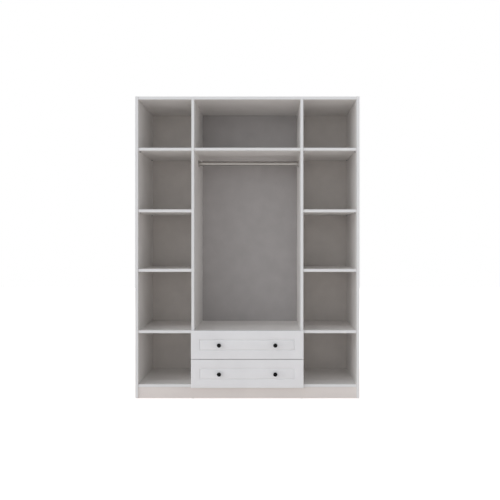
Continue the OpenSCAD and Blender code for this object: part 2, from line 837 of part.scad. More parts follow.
module drawer_side(s, i) {
    x = s * drawer_side_x;
    color(melamine) difference() {
        translate([x - drawer_side_t / 2, y_box + drawer_len, box_z(i)]) rotate([90, 0, 0])
            linear_extrude(drawer_len)
                polygon([[0, 0], [drawer_side_t, 0], [drawer_side_t, box_h - edge_ease],
                         [drawer_side_t - edge_ease, box_h], [edge_ease, box_h], [0, box_h - edge_ease]]);
        at_joints([for (j = front_joints(i)) if (j[0] * s > 0) j], [y_box]) cam_pocket(drawer_side_t);
        at_joints([for (j = rear_joints(i)) if (j[0] * s > 0) j], [drawer_back_y]) bolt_pilot();
        at_runners(i) at_drawer_runner_screws() screw(fit, over);
        translate([s > 0 ? box_inner_w / 2 - over : -box_inner_w / 2 - bottom_groove, y_box - over,
                   box_z(i) + bottom_rise])
            cube([bottom_groove + over, drawer_len + 2 * over, bottom_slot_h]);
    }
}

module drawer_back(i) {
    z = box_z(i) + bottom_rise + bottom_slot_h;
    h = box_z(i) + box_h - z;
    y = drawer_back_y - drawer_side_t / 2;
    color(melamine) difference() {
        translate([-box_inner_w / 2, y, z]) rotate([90, 0, 90])
            linear_extrude(box_inner_w)
                polygon([[0, 0], [drawer_side_t, 0], [drawer_side_t, h - edge_ease],
                         [drawer_side_t - edge_ease, h], [edge_ease, h], [0, h - edge_ease]]);
        at_joints(rear_joints(i), [drawer_back_y]) cam_pocket(drawer_side_t);
        at_bottom_screws(i) screw(fit, over);
    }
}

module drawer_bottom(i) {
    half = box_inner_w / 2 + bottom_lap;
    color(hardboard) difference() {
        translate([-half, y_box - bottom_lap, box_z(i) + bottom_rise + bottom_play])
            cube([2 * half, drawer_len + bottom_lap, drawer_bottom_t]);
        at_bottom_screws(i) screw(fit, over);
    }
}

module at_bottom_screws(i) {
    for (k = [-1, 0, 1])
        translate([k * bottom_screw_pitch, drawer_back_y, box_z(i) + bottom_rise + bottom_play]) children();
}

// Knobs, drawn along -Y from the face of the front
module at_knobs(i) {
    for (s = [-1, 1])
        translate([s * knob_pitch / 2, y_front, front_z(i) + front_h / 2]) rotate([90, 0, 0]) children();
}

module knob() {
    thread_r = knob_screw_d / 2 + fit;
    rotate_extrude()
        polygon(concat([[thread_r, 0], [knob_foot_d / 2, 0], [knob_foot_d / 2, knob_foot_h]],
                       [[knob_neck_d / 2, knob_foot_h + knob_ease]],
                       [[knob_neck_d / 2, knob_proj - knob_head_t - knob_ease]],
                       arc(knob_d / 2 - knob_rim_r, knob_proj - knob_dome - knob_rim_r, knob_rim_r, -60, 60),
                       [[knob_d / 4, knob_proj - knob_dome / 3], [0, knob_proj],
                        [0, knob_screw_in + fit], [thread_r, knob_screw_in + fit]]));
}

module at_knob_screws(i) {
    at_knobs(i) translate([0, 0, -front_t]) children();
}

// A pan-headed screw from the back of the front into the knob
module knob_screw(grow = 0, lead = 0) {
    r = knob_screw_d / 2 + grow;
    translate([0, 0, -lead]) cylinder(r = r, h = front_t + knob_screw_in + lead);
    if (grow == 0)
        rotate_extrude()
            polygon([[0, 0], [knob_screw_d, 0], [knob_screw_d, -pan_head_h + knob_ease],
                     [knob_screw_d - knob_ease, -pan_head_h], [0, -pan_head_h]]);
}

module drawer_cam_fittings(i) {
    color(zinc) {
        at_joints(front_joints(i), [y_box]) { cam_lock(drawer_side_t); cam_bolt(); }
        at_joints(rear_joints(i), [drawer_back_y]) { cam_lock(drawer_side_t); cam_bolt(); }
    }
}

module drawer_screws(i) {
    color(steel) {
        at_runners(i) at_drawer_runner_screws() screw();
        at_knob_screws(i) knob_screw();
        at_bottom_screws(i) screw();
    }
}

// Small pieces of the carcass
module shelf_pins() {
    color(zinc) for (s = [-1, 1]) {
        at_pins(s * inner_w / 2, -s) shelf_pin();
        at_pins(s * (divider_x + panel_t / 2), s) shelf_pin();
    }
}

module wood_dowels() {
    color(beech) {
        at_joints(all_joints, dowel_ys) dowel();
        at_plinth_dowels() dowel();
    }
}

module carcass_screws() {
    color(steel) {
        at_sockets() at_socket_screws() screw();
        at_blocks() at_block_screws() screw();
        for (i = [LOWER, UPPER]) at_runners(i) at_cabinet_screws() screw();
    }
}

side(-1);  // side_left
side(1);  // side_right
top_panel();
bottom_panel();
divider(-1);  // divider_left
divider(1);  // divider_right
centre_board(hat_joints, top_shelf_z);  // hat_shelf
centre_board(deck_joints, lower_shelf_z);  // drawer_deck
loose_shelf(-1, lower_shelf_z);  // left_shelf_lower
loose_shelf(-1, middle_shelf_z);  // left_shelf_middle
loose_shelf(-1, upper_shelf_z);  // left_shelf_upper
loose_shelf(-1, top_shelf_z);  // left_shelf_top
loose_shelf(1, lower_shelf_z);  // right_shelf_lower
loose_shelf(1, middle_shelf_z);  // right_shelf_middle
loose_shelf(1, upper_shelf_z);  // right_shelf_upper
loose_shelf(1, top_shelf_z);  // right_shelf_top
plinth(plinth_ys[0]);  // plinth_front
plinth(plinth_ys[1]);  // plinth_rear
side_back(-1);  // back_left
centre_back();  // back_centre
side_back(1);  // back_right
color(steel) at_nails(all_nails) nail();  // back_nails
color(plastic_white) at_glides() glide();  // floor_glides
shelf_pins();
color(zinc) at_joints(all_joints, cam_ys) cam_lock(panel_t);  // cam_locks
color(steel) at_joints(all_joints, cam_ys) cam_bolt();  // cam_bolts
wood_dowels();
color(plastic_white) at_blocks() corner_block();  // corner_blocks
hanging_rail();
color(chrome) at_sockets([-1]) rail_socket();  // rail_socket_left
color(chrome) at_sockets([1]) rail_socket();  // rail_socket_right
carcass_screws();
color(zinc) at_runners(UPPER) outer_member();  // upper_cabinet_runners
color(zinc) at_runners(LOWER) outer_member();  // lower_cabinet_runners
drawer_front(UPPER);  // upper_drawer_front
drawer_side(-1, UPPER);  // upper_drawer_side_left
drawer_side(1, UPPER);  // upper_drawer_side_right
drawer_back(UPPER);  // upper_drawer_back
drawer_bottom(UPPER);  // upper_drawer_bottom
color(black) at_knobs(UPPER) knob();  // upper_drawer_knobs
drawer_cam_fittings(UPPER);  // upper_drawer_cam_fittings
drawer_screws(UPPER);  // upper_drawer_screws
color(zinc) at_runners(UPPER) inner_member();  // upper_drawer_runners
drawer_front(LOWER);  // lower_drawer_front
drawer_side(-1, LOWER);  // lower_drawer_side_left
drawer_side(1, LOWER);  // lower_drawer_side_right
drawer_back(LOWER);  // lower_drawer_back
drawer_bottom(LOWER);  // lower_drawer_bottom
color(black) at_knobs(LOWER) knob();  // lower_drawer_knobs
drawer_cam_fittings(LOWER);  // lower_drawer_cam_fittings
drawer_screws(LOWER);  // lower_drawer_screws
color(zinc) at_runners(LOWER) inner_member();  // lower_drawer_runners
color(zinc) at_runners(UPPER) middle_member();  // upper_middle_runners
color(zinc) at_runners(LOWER) middle_member();  // lower_middle_runners
outer_cages(UPPER);  // upper_outer_cages
inner_cages(UPPER);  // upper_inner_cages
outer_cages(LOWER);  // lower_outer_cages
inner_cages(LOWER);  // lower_inner_cages
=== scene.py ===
"""An open-fronted wardrobe of white melamine-faced board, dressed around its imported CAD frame.

The sizes in the classes of pieces and finishes are in millimetres, and angles are in degrees.
"""

import json
import logging
import math
from dataclasses import dataclass, field
from enum import Enum
from typing import Iterable, Sequence

import bmesh
import bpy
from bmesh.types import BMesh
from bpy.types import Material, Mesh, Node, NodeOutputs, NodeSocket, NodeTree, Object
from mathutils import Matrix, Quaternion, Vector

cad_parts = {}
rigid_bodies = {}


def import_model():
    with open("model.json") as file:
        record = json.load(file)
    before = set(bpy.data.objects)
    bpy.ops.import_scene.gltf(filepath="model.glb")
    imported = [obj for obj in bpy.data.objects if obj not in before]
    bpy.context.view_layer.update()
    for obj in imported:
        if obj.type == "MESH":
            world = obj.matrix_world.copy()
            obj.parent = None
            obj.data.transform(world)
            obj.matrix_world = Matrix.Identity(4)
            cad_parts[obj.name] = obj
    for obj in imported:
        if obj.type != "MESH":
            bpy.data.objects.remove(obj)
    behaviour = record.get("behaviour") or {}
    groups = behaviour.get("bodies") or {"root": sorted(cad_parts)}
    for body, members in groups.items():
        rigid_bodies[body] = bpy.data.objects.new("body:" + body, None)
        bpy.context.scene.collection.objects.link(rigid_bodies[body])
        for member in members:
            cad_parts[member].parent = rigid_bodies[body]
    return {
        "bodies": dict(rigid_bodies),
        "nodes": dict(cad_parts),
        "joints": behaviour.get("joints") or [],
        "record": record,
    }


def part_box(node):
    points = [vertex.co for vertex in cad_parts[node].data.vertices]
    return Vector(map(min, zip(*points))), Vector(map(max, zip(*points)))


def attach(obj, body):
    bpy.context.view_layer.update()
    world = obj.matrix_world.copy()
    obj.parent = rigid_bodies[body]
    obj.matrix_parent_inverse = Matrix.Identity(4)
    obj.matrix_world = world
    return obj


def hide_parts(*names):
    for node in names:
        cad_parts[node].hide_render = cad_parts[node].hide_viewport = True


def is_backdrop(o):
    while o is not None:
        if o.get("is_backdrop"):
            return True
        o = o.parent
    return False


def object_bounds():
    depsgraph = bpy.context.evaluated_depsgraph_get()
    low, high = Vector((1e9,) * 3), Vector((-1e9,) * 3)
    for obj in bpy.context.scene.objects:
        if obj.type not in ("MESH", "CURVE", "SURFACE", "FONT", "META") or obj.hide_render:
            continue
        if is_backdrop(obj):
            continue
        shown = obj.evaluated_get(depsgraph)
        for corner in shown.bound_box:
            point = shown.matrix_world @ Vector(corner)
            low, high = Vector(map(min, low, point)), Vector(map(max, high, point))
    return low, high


log = logging.getLogger("wardrobe")

MM = 0.001
WHITE = (1.0, 1.0, 1.0, 1.0)
SHARP_ANGLE = math.radians(35)
SEED = 7
OWN_MERGE = 1e-7  # points nearer than this, in metres, are one: in a shape made here, and in the frame
FRAME_MERGE = 1e-6
END_DEPTH = 0.02 * MM  # points this near an end of a solid belong to its face
BOLT_LENGTH = 20 * MM  # cam bolts and the knobs' screws are longer than this, the other fittings shorter
WALL_SHARE = 0.95  # points beyond this share of a cam's radius belong to its wall
CREST_SHARE = 0.1  # width of a thread's crest, as a share of its pitch


class Level(Enum):
    """The two drawers, by the word that begins their nodes' names."""

    LOWER = "lower"
    UPPER = "upper"


class Stage(Enum):
    """The two ball cages of a runner: against the cabinet's member and against the drawer's."""

    OUTER = "outer"
    INNER = "inner"


def linear(hex_colour: str) -> tuple[float, float, float, float]:
    """Turns an sRGB colour into the linear one that a shader takes.

    Args:
        hex_colour: Six hex digits after a hash sign.

    Returns:
        Linear red, green, blue and an alpha of 1.
    """
    digits = hex_colour.lstrip("#")
    channels = [int(digits[i : i + 2], 16) / 255 for i in (0, 2, 4)]
    curved = [c / 12.92 if c <= 0.04045 else ((c + 0.055) / 1.055) ** 2.4 for c in channels]
    return (*curved, 1.0)


def per_mm(size_mm: float) -> float:
    """Gives the texture scale at which a pattern repeats about every size_mm on Object coordinates."""
    return 1 / (size_mm * MM)


def fill(node: Node, inputs: dict) -> None:
    """Sets or links a node's inputs.

    Args:
        node: The node.
        inputs: For each input's name or number, a value, or the socket or node that feeds it. A
            node feeds it from its first output.
    """
    for key, value in inputs.items():
        if isinstance(value, Node):
            value = value.outputs[0]
        if isinstance(value, NodeSocket):
            node.id_data.links.new(value, node.inputs[key])
        else:
            node.inputs[key].default_value = value


def add_node(tree: NodeTree, kind: str, inputs: dict | None = None, **settings) -> Node:
    """Adds one node with its settings, and fills or links its inputs.

    Args:
        tree: The tree that gets the node.
        kind: The node's type name.
        inputs: What its inputs get, in the form that fill takes.
        **settings: Attributes of the node itself.

    Returns:
        The new node.
    """
    node = tree.nodes.new(kind)
    for name, value in settings.items():
        setattr(node, name, value)
    fill(node, inputs or {})
    return node


def colour_ramp(tree: NodeTree, factor: Node, stops: Sequence[tuple[float, str]]) -> Node:
    """Adds a colour ramp with the given stops.

    Args:
        tree: The material's tree.
        factor: What drives the ramp.
        stops: Position and sRGB hex colour of each stop, in order.

    Returns:
        The ramp, whose first output is the colour.
    """
    node = add_node(tree, "ShaderNodeValToRGB", {"Fac": factor})
    elements = node.color_ramp.elements
    while len(elements) < len(stops):
        elements.new(1.0)
    for element, (position, colour) in zip(elements, stops):
        element.position = position
        element.color = linear(colour)
    return node


@dataclass(frozen=True)
class Finish:
    """A finish, as one material with one Principled shader."""

    name: str

    def surface(self, tree: NodeTree) -> dict:
        """Adds the nodes of the look.

        Args:
            tree: The material's tree.

        Returns:
            What the shader's inputs get, in the form that fill takes.
        """
        raise NotImplementedError

    def build(self) -> Material:
        """Makes the material.

        Returns:
            The material, named for the finish.
        """
        material = bpy.data.materials.new(self.name)
        material.use_nodes = True
        tree = material.node_tree
        fill(tree.nodes["Principled BSDF"], self.surface(tree))
        return material


@dataclass(frozen=True)
class Melamine(Finish):
    """Chipboard faced with white melamine paper, pressed against a finely pearled steel plate.

    The press gives a satin face with a shallow grain of dimples. The front edges carry a
    glued band, whose colour is a shade off the face, with a thin grey glue line beside it.
    Handling leaves the face a little shinier in some places than in others. The plinth's front
    has no band; its creamier, slightly darker colour is painted warm bounce light from the floor
    and painted shade under the drawer fronts.
    """

    name: str = "melamine_pressed_white"
    face: str = "#EDEAE7"
    face_warm: str = "#E8E4E1"
    band: str = "#ECEBEB"
    banded: bool = True
    glue_line: str = "#BDBBB8"
    arris_from: float = -0.35  # how far a face's normal leans to the front where the easing begins
    band_from: float = -0.9
    roughness: float = 0.42
    pearl_mm: float = 1.4  # the real dimples are 0.3 mm wide, too fine to show
    pearl_depth_mm: float = 0.05
    cloud_mm: float = 260.0
    scuff_mm: float = 9.0

    def surface(self, tree: NodeTree) -> dict:
        """Adds the nodes of the look.

        Args:
            tree: The material's tree.

        Returns:
            What the shader's inputs get.
        """
        place = add_node(tree, "ShaderNodeTexCoord").outputs["Object"]
        cloud = add_node(tree, "ShaderNodeTexNoise", {
            "Vector": place, "Scale": per_mm(self.cloud_mm), "Detail": 3.0})
        colour = colour_ramp(tree, cloud, [(0.3, self.face_warm), (0.7, self.face)])
        normal = add_node(tree, "ShaderNodeNewGeometry").outputs["True Normal"]
        forward = add_node(tree, "ShaderNodeSeparateXYZ", {"Vector": normal}).outputs["Y"]
        edges = ((self.arris_from, self.glue_line), (self.band_from, self.band)) if self.banded else ()
        for limit, hue in edges:
            there = add_node(tree, "ShaderNodeMath", {0: forward, 1: limit}, operation="LESS_THAN")
            mixed = {"Factor": there, 6: colour, 7: linear(hue)}
            colour = add_node(tree, "ShaderNodeMix", mixed, data_type="RGBA").outputs[2]
        scuff = add_node(tree, "ShaderNodeTexNoise", {
            "Vector": place, "Scale": per_mm(self.scuff_mm), "Detail": 6.0, "Roughness": 0.7})
        rough = add_node(tree, "ShaderNodeMapRange", {
            "Value": scuff, "From Min": 0.3, "From Max": 0.7,
            "To Min": self.roughness - 0.05, "To Max": self.roughness + 0.07})
        pearl = add_node(tree, "ShaderNodeTexVoronoi", {"Vector": place, "Scale": per_mm(self.pearl_mm)},
                         feature="SMOOTH_F1")
        bump = add_node(tree, "ShaderNodeBump", {
            "Height": pearl.outputs["Distance"], "Strength": 0.12, "Distance": self.pearl_depth_mm * MM})
        return {"Base Color": colour, "Roughness": rough, "IOR": 1.5, "Normal": bump}


@dataclass(frozen=True)
class FoilFront(Finish):
    """MDF wrapped in white PVC foil in a vacuum press.

    The foil is smoother than melamine, follows the routed line softly, and has a faint
    orange peel where it stretched.
    """

    name: str = "pvc_foil_on_mdf_white"
    colour: str = "#F3F2F3"
    colour_warm: str = "#EEEDEE"
    roughness: float = 0.34
    peel_mm: float = 7.0
    peel_depth_mm: float = 0.12
    cloud_mm: float = 180.0

    def surface(self, tree: NodeTree) -> dict:
        """Adds the nodes of the look.

        Args:
            tree: The material's tree.

        Returns:
            What the shader's inputs get.
        """
        place = add_node(tree, "ShaderNodeTexCoord").outputs["Object"]
        cloud = add_node(tree, "ShaderNodeTexNoise", {
            "Vector": place, "Scale": per_mm(self.cloud_mm), "Detail": 2.0})
        foil = colour_ramp(tree, cloud, [(0.3, self.colour_warm), (0.7, self.colour)])
        peel = add_node(tree, "ShaderNodeTexNoise", {
            "Vector": place, "Scale": per_mm(self.peel_mm), "Detail": 1.5})
        bump = add_node(tree, "ShaderNodeBump", {
            "Height": peel, "Strength": 0.15, "Distance": self.peel_depth_mm * MM})
        return {"Base Color": foil, "Roughness": self.roughness, "IOR": 1.52, "Normal": bump}


@dataclass(frozen=True)
class Hardboard(Finish):
    """High-density fibreboard, painted on its face and raw brown at the rear.

    The paint is thin enough for the felted fibres to show as a faint mottle. The raw rear
    has dark and light fibre bundles in a brown ground.
    """

    name: str
    painted: str
    painted_dark: str
    raw_light: str = "#9A7D5F"
    raw_dark: str = "#4A3724"
    raw_towards: tuple[float, float, float] = (0.0, 1.0, 0.0)
    roughness: float = 0.55
    raw_roughness: float = 0.85
    fibre_mm: float = 3.0
    bundle_mm: float = 16.0
    fibre_depth_mm: float = 0.15
    cloud_mm: float = 90.0
    bundle_share: float = 0.7  # weight of bundles and clouds in the raw rear, beside the fibres' 1
    cloud_share: float = 0.35

    def surface(self, tree: NodeTree) -> dict:
        """Adds the nodes of the look.

        Args:
            tree: The material's tree.

        Returns:
            What the shader's inputs get.
        """
        place = add_node(tree, "ShaderNodeTexCoord").outputs["Object"]
        cloud = add_node(tree, "ShaderNodeTexNoise", {
            "Vector": place, "Scale": per_mm(self.cloud_mm), "Detail": 4.0})
        fibre = add_node(tree, "ShaderNodeTexNoise", {
            "Vector": place, "Scale": per_mm(self.fibre_mm),
            "Detail": 8.0, "Roughness": 0.75, "Distortion": 1.2})
        mottle = add_node(tree, "ShaderNodeMath", {0: cloud, 1: fibre}, operation="MULTIPLY")
        face = colour_ramp(tree, mottle, [(0.15, self.painted_dark), (0.4, self.painted)])
        bundle = add_node(tree, "ShaderNodeTexNoise", {
            "Vector": place, "Scale": per_mm(self.bundle_mm),
            "Detail": 6.0, "Roughness": 0.7, "Distortion": 0.5})
        felt = fibre
        for pattern, share in ((cloud, self.cloud_share), (bundle, self.bundle_share)):
            felt = add_node(tree, "ShaderNodeMath", {0: pattern, 1: share, 2: felt}, operation="MULTIPLY_ADD")
        raw = colour_ramp(tree, felt, [(0.76, self.raw_dark), (1.0, self.raw_light)])
        normal = add_node(tree, "ShaderNodeNewGeometry").outputs["True Normal"]
        facing = add_node(tree, "ShaderNodeVectorMath", {0: normal, 1: self.raw_towards},
                          operation="DOT_PRODUCT")
        at_rear = add_node(tree, "ShaderNodeMath", {0: facing.outputs["Value"], 1: 0.5},
                           operation="GREATER_THAN")
        colour = add_node(tree, "ShaderNodeMix", {"Factor": at_rear, 6: face, 7: raw}, data_type="RGBA")
        rough = add_node(tree, "ShaderNodeMapRange", {
            "Value": at_rear, "To Min": self.roughness, "To Max": self.raw_roughness})
        bump = add_node(tree, "ShaderNodeBump", {
            "Height": fibre, "Strength": 0.2, "Distance": self.fibre_depth_mm * MM})
        return {"Base Color": colour.outputs[2], "Roughness": rough, "Normal": bump}


@dataclass(frozen=True)
class PlatedMetal(Finish):
    """Steel or zinc with a plated coat, which shows its rolling or casting under the plate."""

    name: str
    colour: str
    colour_dark: str
    roughness: float
    grain_mm: tuple[float, float, float]
    depth_mm: float = 0.02

    def surface(self, tree: NodeTree) -> dict:
        """Adds the nodes of the look.

        Args:
            tree: The material's tree.

        Returns:
            What the shader's inputs get.
        """
        place = add_node(tree, "ShaderNodeTexCoord").outputs["Object"]
        scale = Vector([per_mm(size) for size in self.grain_mm])
        grain_place = add_node(tree, "ShaderNodeMapping", {"Vector": place, "Scale": scale})
        grain = add_node(tree, "ShaderNodeTexNoise", {"Vector": grain_place, "Scale": 1.0, "Detail": 5.0})
        plate = colour_ramp(tree, grain, [(0.3, self.colour_dark), (0.65, self.colour)])
        rough = add_node(tree, "ShaderNodeMapRange", {
            "Value": grain, "From Min": 0.3, "From Max": 0.7,
            "To Min": self.roughness * 0.75, "To Max": self.roughness * 1.3})
        bump = add_node(tree, "ShaderNodeBump", {
            "Height": grain, "Strength": 0.3, "Distance": self.depth_mm * MM})
        return {"Base Color": plate, "Metallic": 1.0, "Roughness": rough, "Normal": bump}


@dataclass(frozen=True)
class MouldedPlastic(Finish):
    """Injection-moulded plastic, with the fine spark-eroded grain of its mould."""

    name: str
    colour: str
    colour_worn: str
    roughness: float
    ior: float = 1.49
    gloss: float = 0.5
    grain_mm: float = 0.8  # the real grain is about 0.1 mm, too fine to show
    grain_depth_mm: float = 0.03
    wear_mm: float = 11.2

    def surface(self, tree: NodeTree) -> dict:
        """Adds the nodes of the look.

        Args:
            tree: The material's tree.

        Returns:
            What the shader's inputs get.
        """
        place = add_node(tree, "ShaderNodeTexCoord").outputs["Object"]
        grain = add_node(tree, "ShaderNodeTexNoise", {
            "Vector": place, "Scale": per_mm(self.grain_mm), "Detail": 3.0})
        wear = add_node(tree, "ShaderNodeTexNoise", {
            "Vector": place, "Scale": per_mm(self.wear_mm), "Detail": 4.0})
        resin = colour_ramp(tree, wear, [(0.35, self.colour), (0.75, self.colour_worn)])
        bump = add_node(tree, "ShaderNodeBump", {
            "Height": grain, "Strength": 0.15, "Distance": self.grain_depth_mm * MM})
        return {"Base Color": resin, "Roughness": self.roughness, "IOR": self.ior,
                "Specular IOR Level": self.gloss, "Normal": bump}


@dataclass(frozen=True)
class Beech(Finish):
    """Turned beech, pale and pinkish, with short dark flecks along the grain."""

    name: str = "beech_turned_fluted"
    light: str = "#D9B98A"
    dark: str = "#B98F5E"
    roughness: float = 0.6
    fleck_mm: tuple[float, float, float] = (6.0, 1.0, 1.0)

    def surface(self, tree: NodeTree) -> dict:
        """Adds the nodes of the look.

        Args:
            tree: The material's tree.

        Returns:
            What the shader's inputs get.
        """
        place = add_node(tree, "ShaderNodeTexCoord").outputs["Object"]
        scale = Vector([per_mm(size) for size in self.fleck_mm])
        along = add_node(tree, "ShaderNodeMapping", {"Vector": place, "Scale": scale})
        fleck = add_node(tree, "ShaderNodeTexNoise", {"Vector": along, "Scale": 1.0, "Detail": 4.0})
        wood = colour_ramp(tree, fleck, [(0.35, self.dark), (0.6, self.light)])
        return {"Base Color": wood, "Roughness": self.roughness}


@dataclass(frozen=True)
class FloorPaint(Finish):
    """The studio floor's matt paint, which glows for the camera so that it shows white."""

    name: str = "floor_painted_pale"
    colour: str = "#F4ECE7"
    roughness: float = 0.9
    glow: float = 0.1
    glow_seen: float = 0.5

    def surface(self, tree: NodeTree) -> dict:
        """Adds the nodes of the look.

        Args:
            tree: The material's tree.

        Returns:
            What the shader's inputs get.
        """
        path = add_node(tree, "ShaderNodeLightPath")
        glow = add_node(tree, "ShaderNodeMath", {
            0: path.outputs["Is Camera Ray"], 1: self.glow_seen, 2: self.glow}, operation="MULTIPLY_ADD")
        return {"Base Color": linear(self.colour), "Roughness": self.roughness,
                "Emission Color": WHITE, "Emission Strength": glow}


@dataclass(frozen=True)
class Finishes:
    """Every finish of the wardrobe, made once, by the record's slot or by the node that differs from it."""

    made: dict[str, Material] = field(default_factory=dict)

    def __post_init__(self) -> None:
        """Builds the materials."""
        down = (0.0, 0.0, -1.0)
        kinds = {
            "white_melamine": Melamine(),
            # The plinth's front: the same melamine without a band, made creamier and a little darker as
            # painted warm bounce light from the floor and painted shade under the drawer fronts
            "plinth_front": Melamine("melamine_painted_warm_bounce_and_shade", "#EBE4DF", "#E6DEDA", banded=False),
            "white_foil_front": FoilFront(),
            "white_hardboard": Hardboard("hardboard_painted_white", "#DBD5D0", "#D2CCC7"),
            # The centre back: a greyer, darker copy of the backs' hardboard, matched to how dark the deep
            # hanging bay looks; its grey is partly a guessed grey paint and partly painted shade
            "back_centre": Hardboard("hardboard_grey_paint_and_painted_shade", "#B8B4B3", "#AFABAA", roughness=0.4),
            "drawer_bottoms": Hardboard("hardboard_drawer_bottom", "#D6D2CE", "#CCC7C3", raw_towards=down),
            "black_knob": MouldedPlastic("abs_moulded_black", "#040405", "#09090A", 0.42, gloss=0.18),
            "white_plastic": MouldedPlastic("polyethylene_moulded_white", "#E4E4E0", "#D8D7D2", 0.5),
            # Drawn, then chromed: a bright tube with faint streaks along it
            "chrome_tube": PlatedMetal("steel_tube_chromed", "#BFBCB8", "#ABA8A4", 0.17, (60, 1.5, 1.5)),
            # Rolled strip under zinc: a bluish satin with lines along the runner
            "zinc_runner": PlatedMetal(
                "steel_rolled_zinc_plated", "#B9BEC2", "#ABB0B5", 0.32, (1.5, 90, 1.5), 0.01),
            # Cast: a duller grey with an even, slightly rough skin
            "zinc_casting": PlatedMetal("zinc_die_cast_bright", "#A9AAAC", "#8B8C8F", 0.42, (2, 2, 2), 0.05),
            # Small cold-formed pieces: an even shine with fine marks
            "plated_steel": PlatedMetal("steel_cold_formed_plated", "#B4B8BB", "#93989B", 0.3, (1, 1, 1)),
            "beech": Beech(),
        }
        self.made.update({key: kind.build() for key, kind in kinds.items()})
        bottom = self.made.pop("drawer_bottoms")
        self.made.update({f"{level.value}_drawer_bottom": bottom for level in Level})

    def __getitem__(self, slot: str) -> Material:
        """Gives the material of a slot of the record."""
        return self.made[slot]

    def of_node(self, node: str, slot: str) -> Material:
        """Gives the material of a node: its own one where it differs, and its slot's otherwise."""
        return self.made.get(node, self.made[slot])


def as_object(name: str, form: BMesh, material: Material | None = None) -> Object:
    """Turns a bmesh into an object with smooth faces and sharp creases, and frees the bmesh.

    Args:
        name: The object's name.
        form: The finished shape, in metres and in place.
        material: Its finish, if it has one yet.

    Returns:
        The new object, linked to the scene.
    """
    bmesh.ops.remove_doubles(form, verts=form.verts, dist=OWN_MERGE)
    bmesh.ops.recalc_face_normals(form, faces=form.faces)
    mesh = bpy.data.meshes.new(name)
    form.to_mesh(mesh)
    form.free()
    return link_mesh(name, mesh, material)


def link_mesh(name: str, mesh: Mesh, material: Material | None = None) -> Object:
    """Links a mesh to the scene as an object with smooth faces and sharp creases.

    Args:
        name: The object's name.
        mesh: Its mesh, in place.
        material: Its finish, if it has one yet.

    Returns:
        The new object.
    """
    mesh.shade_smooth()
    mesh.set_sharp_from_angle(angle=SHARP_ANGLE)
    if material:
        mesh.materials.clear()
        mesh.materials.append(material)
    piece = bpy.data.objects.new(name, mesh)
    bpy.context.scene.collection.objects.link(piece)
    return piece


def join_ring(form: BMesh, low: Sequence, high: Sequence) -> None:
    """Joins two closed rings of as many points by faces, or a ring and one point by a fan.

    Args:
        form: The shape.
        low: Points of the first ring.
        high: Points of the next ring.
    """
    count = max(len(low), len(high))
    for i in range(count):
        after = i + 1
        four = [low[i % len(low)], low[after % len(low)], high[after % len(high)], high[i % len(high)]]
        distinct = list(dict.fromkeys(four))
        if len(distinct) > 2:
            form.faces.new(distinct)


def round_points(centre: tuple[float, float], radius: float, start: float, end: float, steps: int) -> list:
    """Gives points on an arc.

    Args:
        centre: Its centre.
        radius: Its radius.
        start: Its first angle, in degrees.
        end: Its last angle, in degrees.
        steps: The number of its chords.

    Returns:
        The points, as pairs of numbers.
    """
    angles = [math.radians(start + (end - start) * i / steps) for i in range(steps + 1)]
    return [(centre[0] + radius * math.cos(a), centre[1] + radius * math.sin(a)) for a in angles]


def circle(radius: float, steps: int) -> list[tuple[float, float]]:
    """Gives points round a circle about the origin."""
    return round_points((0, 0), radius, 0, 360, steps)[:-1]


def level_ring(form: BMesh, outline: Iterable[tuple[float, float]], height: float) -> list:
    """Adds the points of an outline at one height, all in millimetres."""
    return [form.verts.new((x * MM, y * MM, height * MM)) for x, y in outline]


def lathe(form: BMesh, profile: Iterable[tuple[float, float]], segments: int) -> None:
    """Turns a profile about +Z.

    Args:
        form: The shape that gets the turned faces.
        profile: Radius and height of each point, in millimetres. A radius of 0 closes the shape.
        segments: Faces round the axis.
    """
    previous = None
    for radius, height in profile:
        ring = level_ring(form, circle(radius, segments) if radius else [(0, 0)], height)
        if previous:
            join_ring(form, previous, ring)
        previous = ring


def thread(
    start: float, end: float, pitch: float, crest: float, core: float, rise: float
) -> list[tuple[float, float]]:
    """Gives the profile of a screw's thread, from its start down, in millimetres.

    Args:
        start: Height at which it starts.
        end: Height below which no turn starts.
        pitch: Distance from turn to turn.
        crest: Diameter over the crests.
        core: Diameter between them.
        rise: Share of the pitch that each flank takes up to its crest.

    Returns:
        Radius and height of each point.
    """
    points = []
    while start > end:
        points += [(crest / 2, start - pitch * rise), (crest / 2, start - pitch * (rise + CREST_SHARE)),
                   (core / 2, start - pitch)]
        start -= pitch
    return points


def fill_between(form: BMesh, outer: Sequence, inner: Sequence) -> None:
    """Fills the flat face between two closed rings of points.

    Args:
        form: The shape.
        outer: Points of the outer ring.
        inner: Points of the ring inside it.
    """
    pairs = [(ring[i - 1], ring[i]) for ring in (outer, inner) for i in range(len(ring))]
    edges = [form.edges.get(pair) or form.edges.new(pair) for pair in pairs]
    bmesh.ops.triangle_fill(form, use_beauty=True, use_dissolve=False, edges=edges)


@dataclass(frozen=True)
class CrossRecess:
    """A tapered cross recess for a screwdriver, with its sizes in millimetres."""

    arm: float
    width: float
    depth: float
    floor_arm: float = 0.6  # arm's length and width on the floor, as shares of those at the mouth
    floor_width: float = 0.7

    def outline(self, arm: float, width: float) -> list[tuple[float, float]]:
        """Gives the twelve corners of a cross.

        Args:
            arm: Length from the centre to the end of an arm.
            width: Width of an arm.

        Returns:
            The corners, anticlockwise from the right arm's lower one.
        """
        half = width / 2
        quarter = [(arm, -half), (arm, half), (half, half)]
        turned = []
        for _ in range(4):
            turned += quarter
            quarter = [(-y, x) for x, y in quarter]
        return turned

    def close(self, form: BMesh, rim: Sequence) -> None:
        """Closes a ring of points at height 0 with a flat face that has the recess.

        Args:
            form: The shape.
            rim: The ring's points, anticlockwise.
        """
        mouth = level_ring(form, self.outline(self.arm, self.width), 0)
        narrow = self.outline(self.arm * self.floor_arm, self.width * self.floor_width)
        floor = level_ring(form, narrow, -self.depth)
        fill_between(form, rim, mouth)
        join_ring(form, mouth, floor)
        form.faces.new(floor)


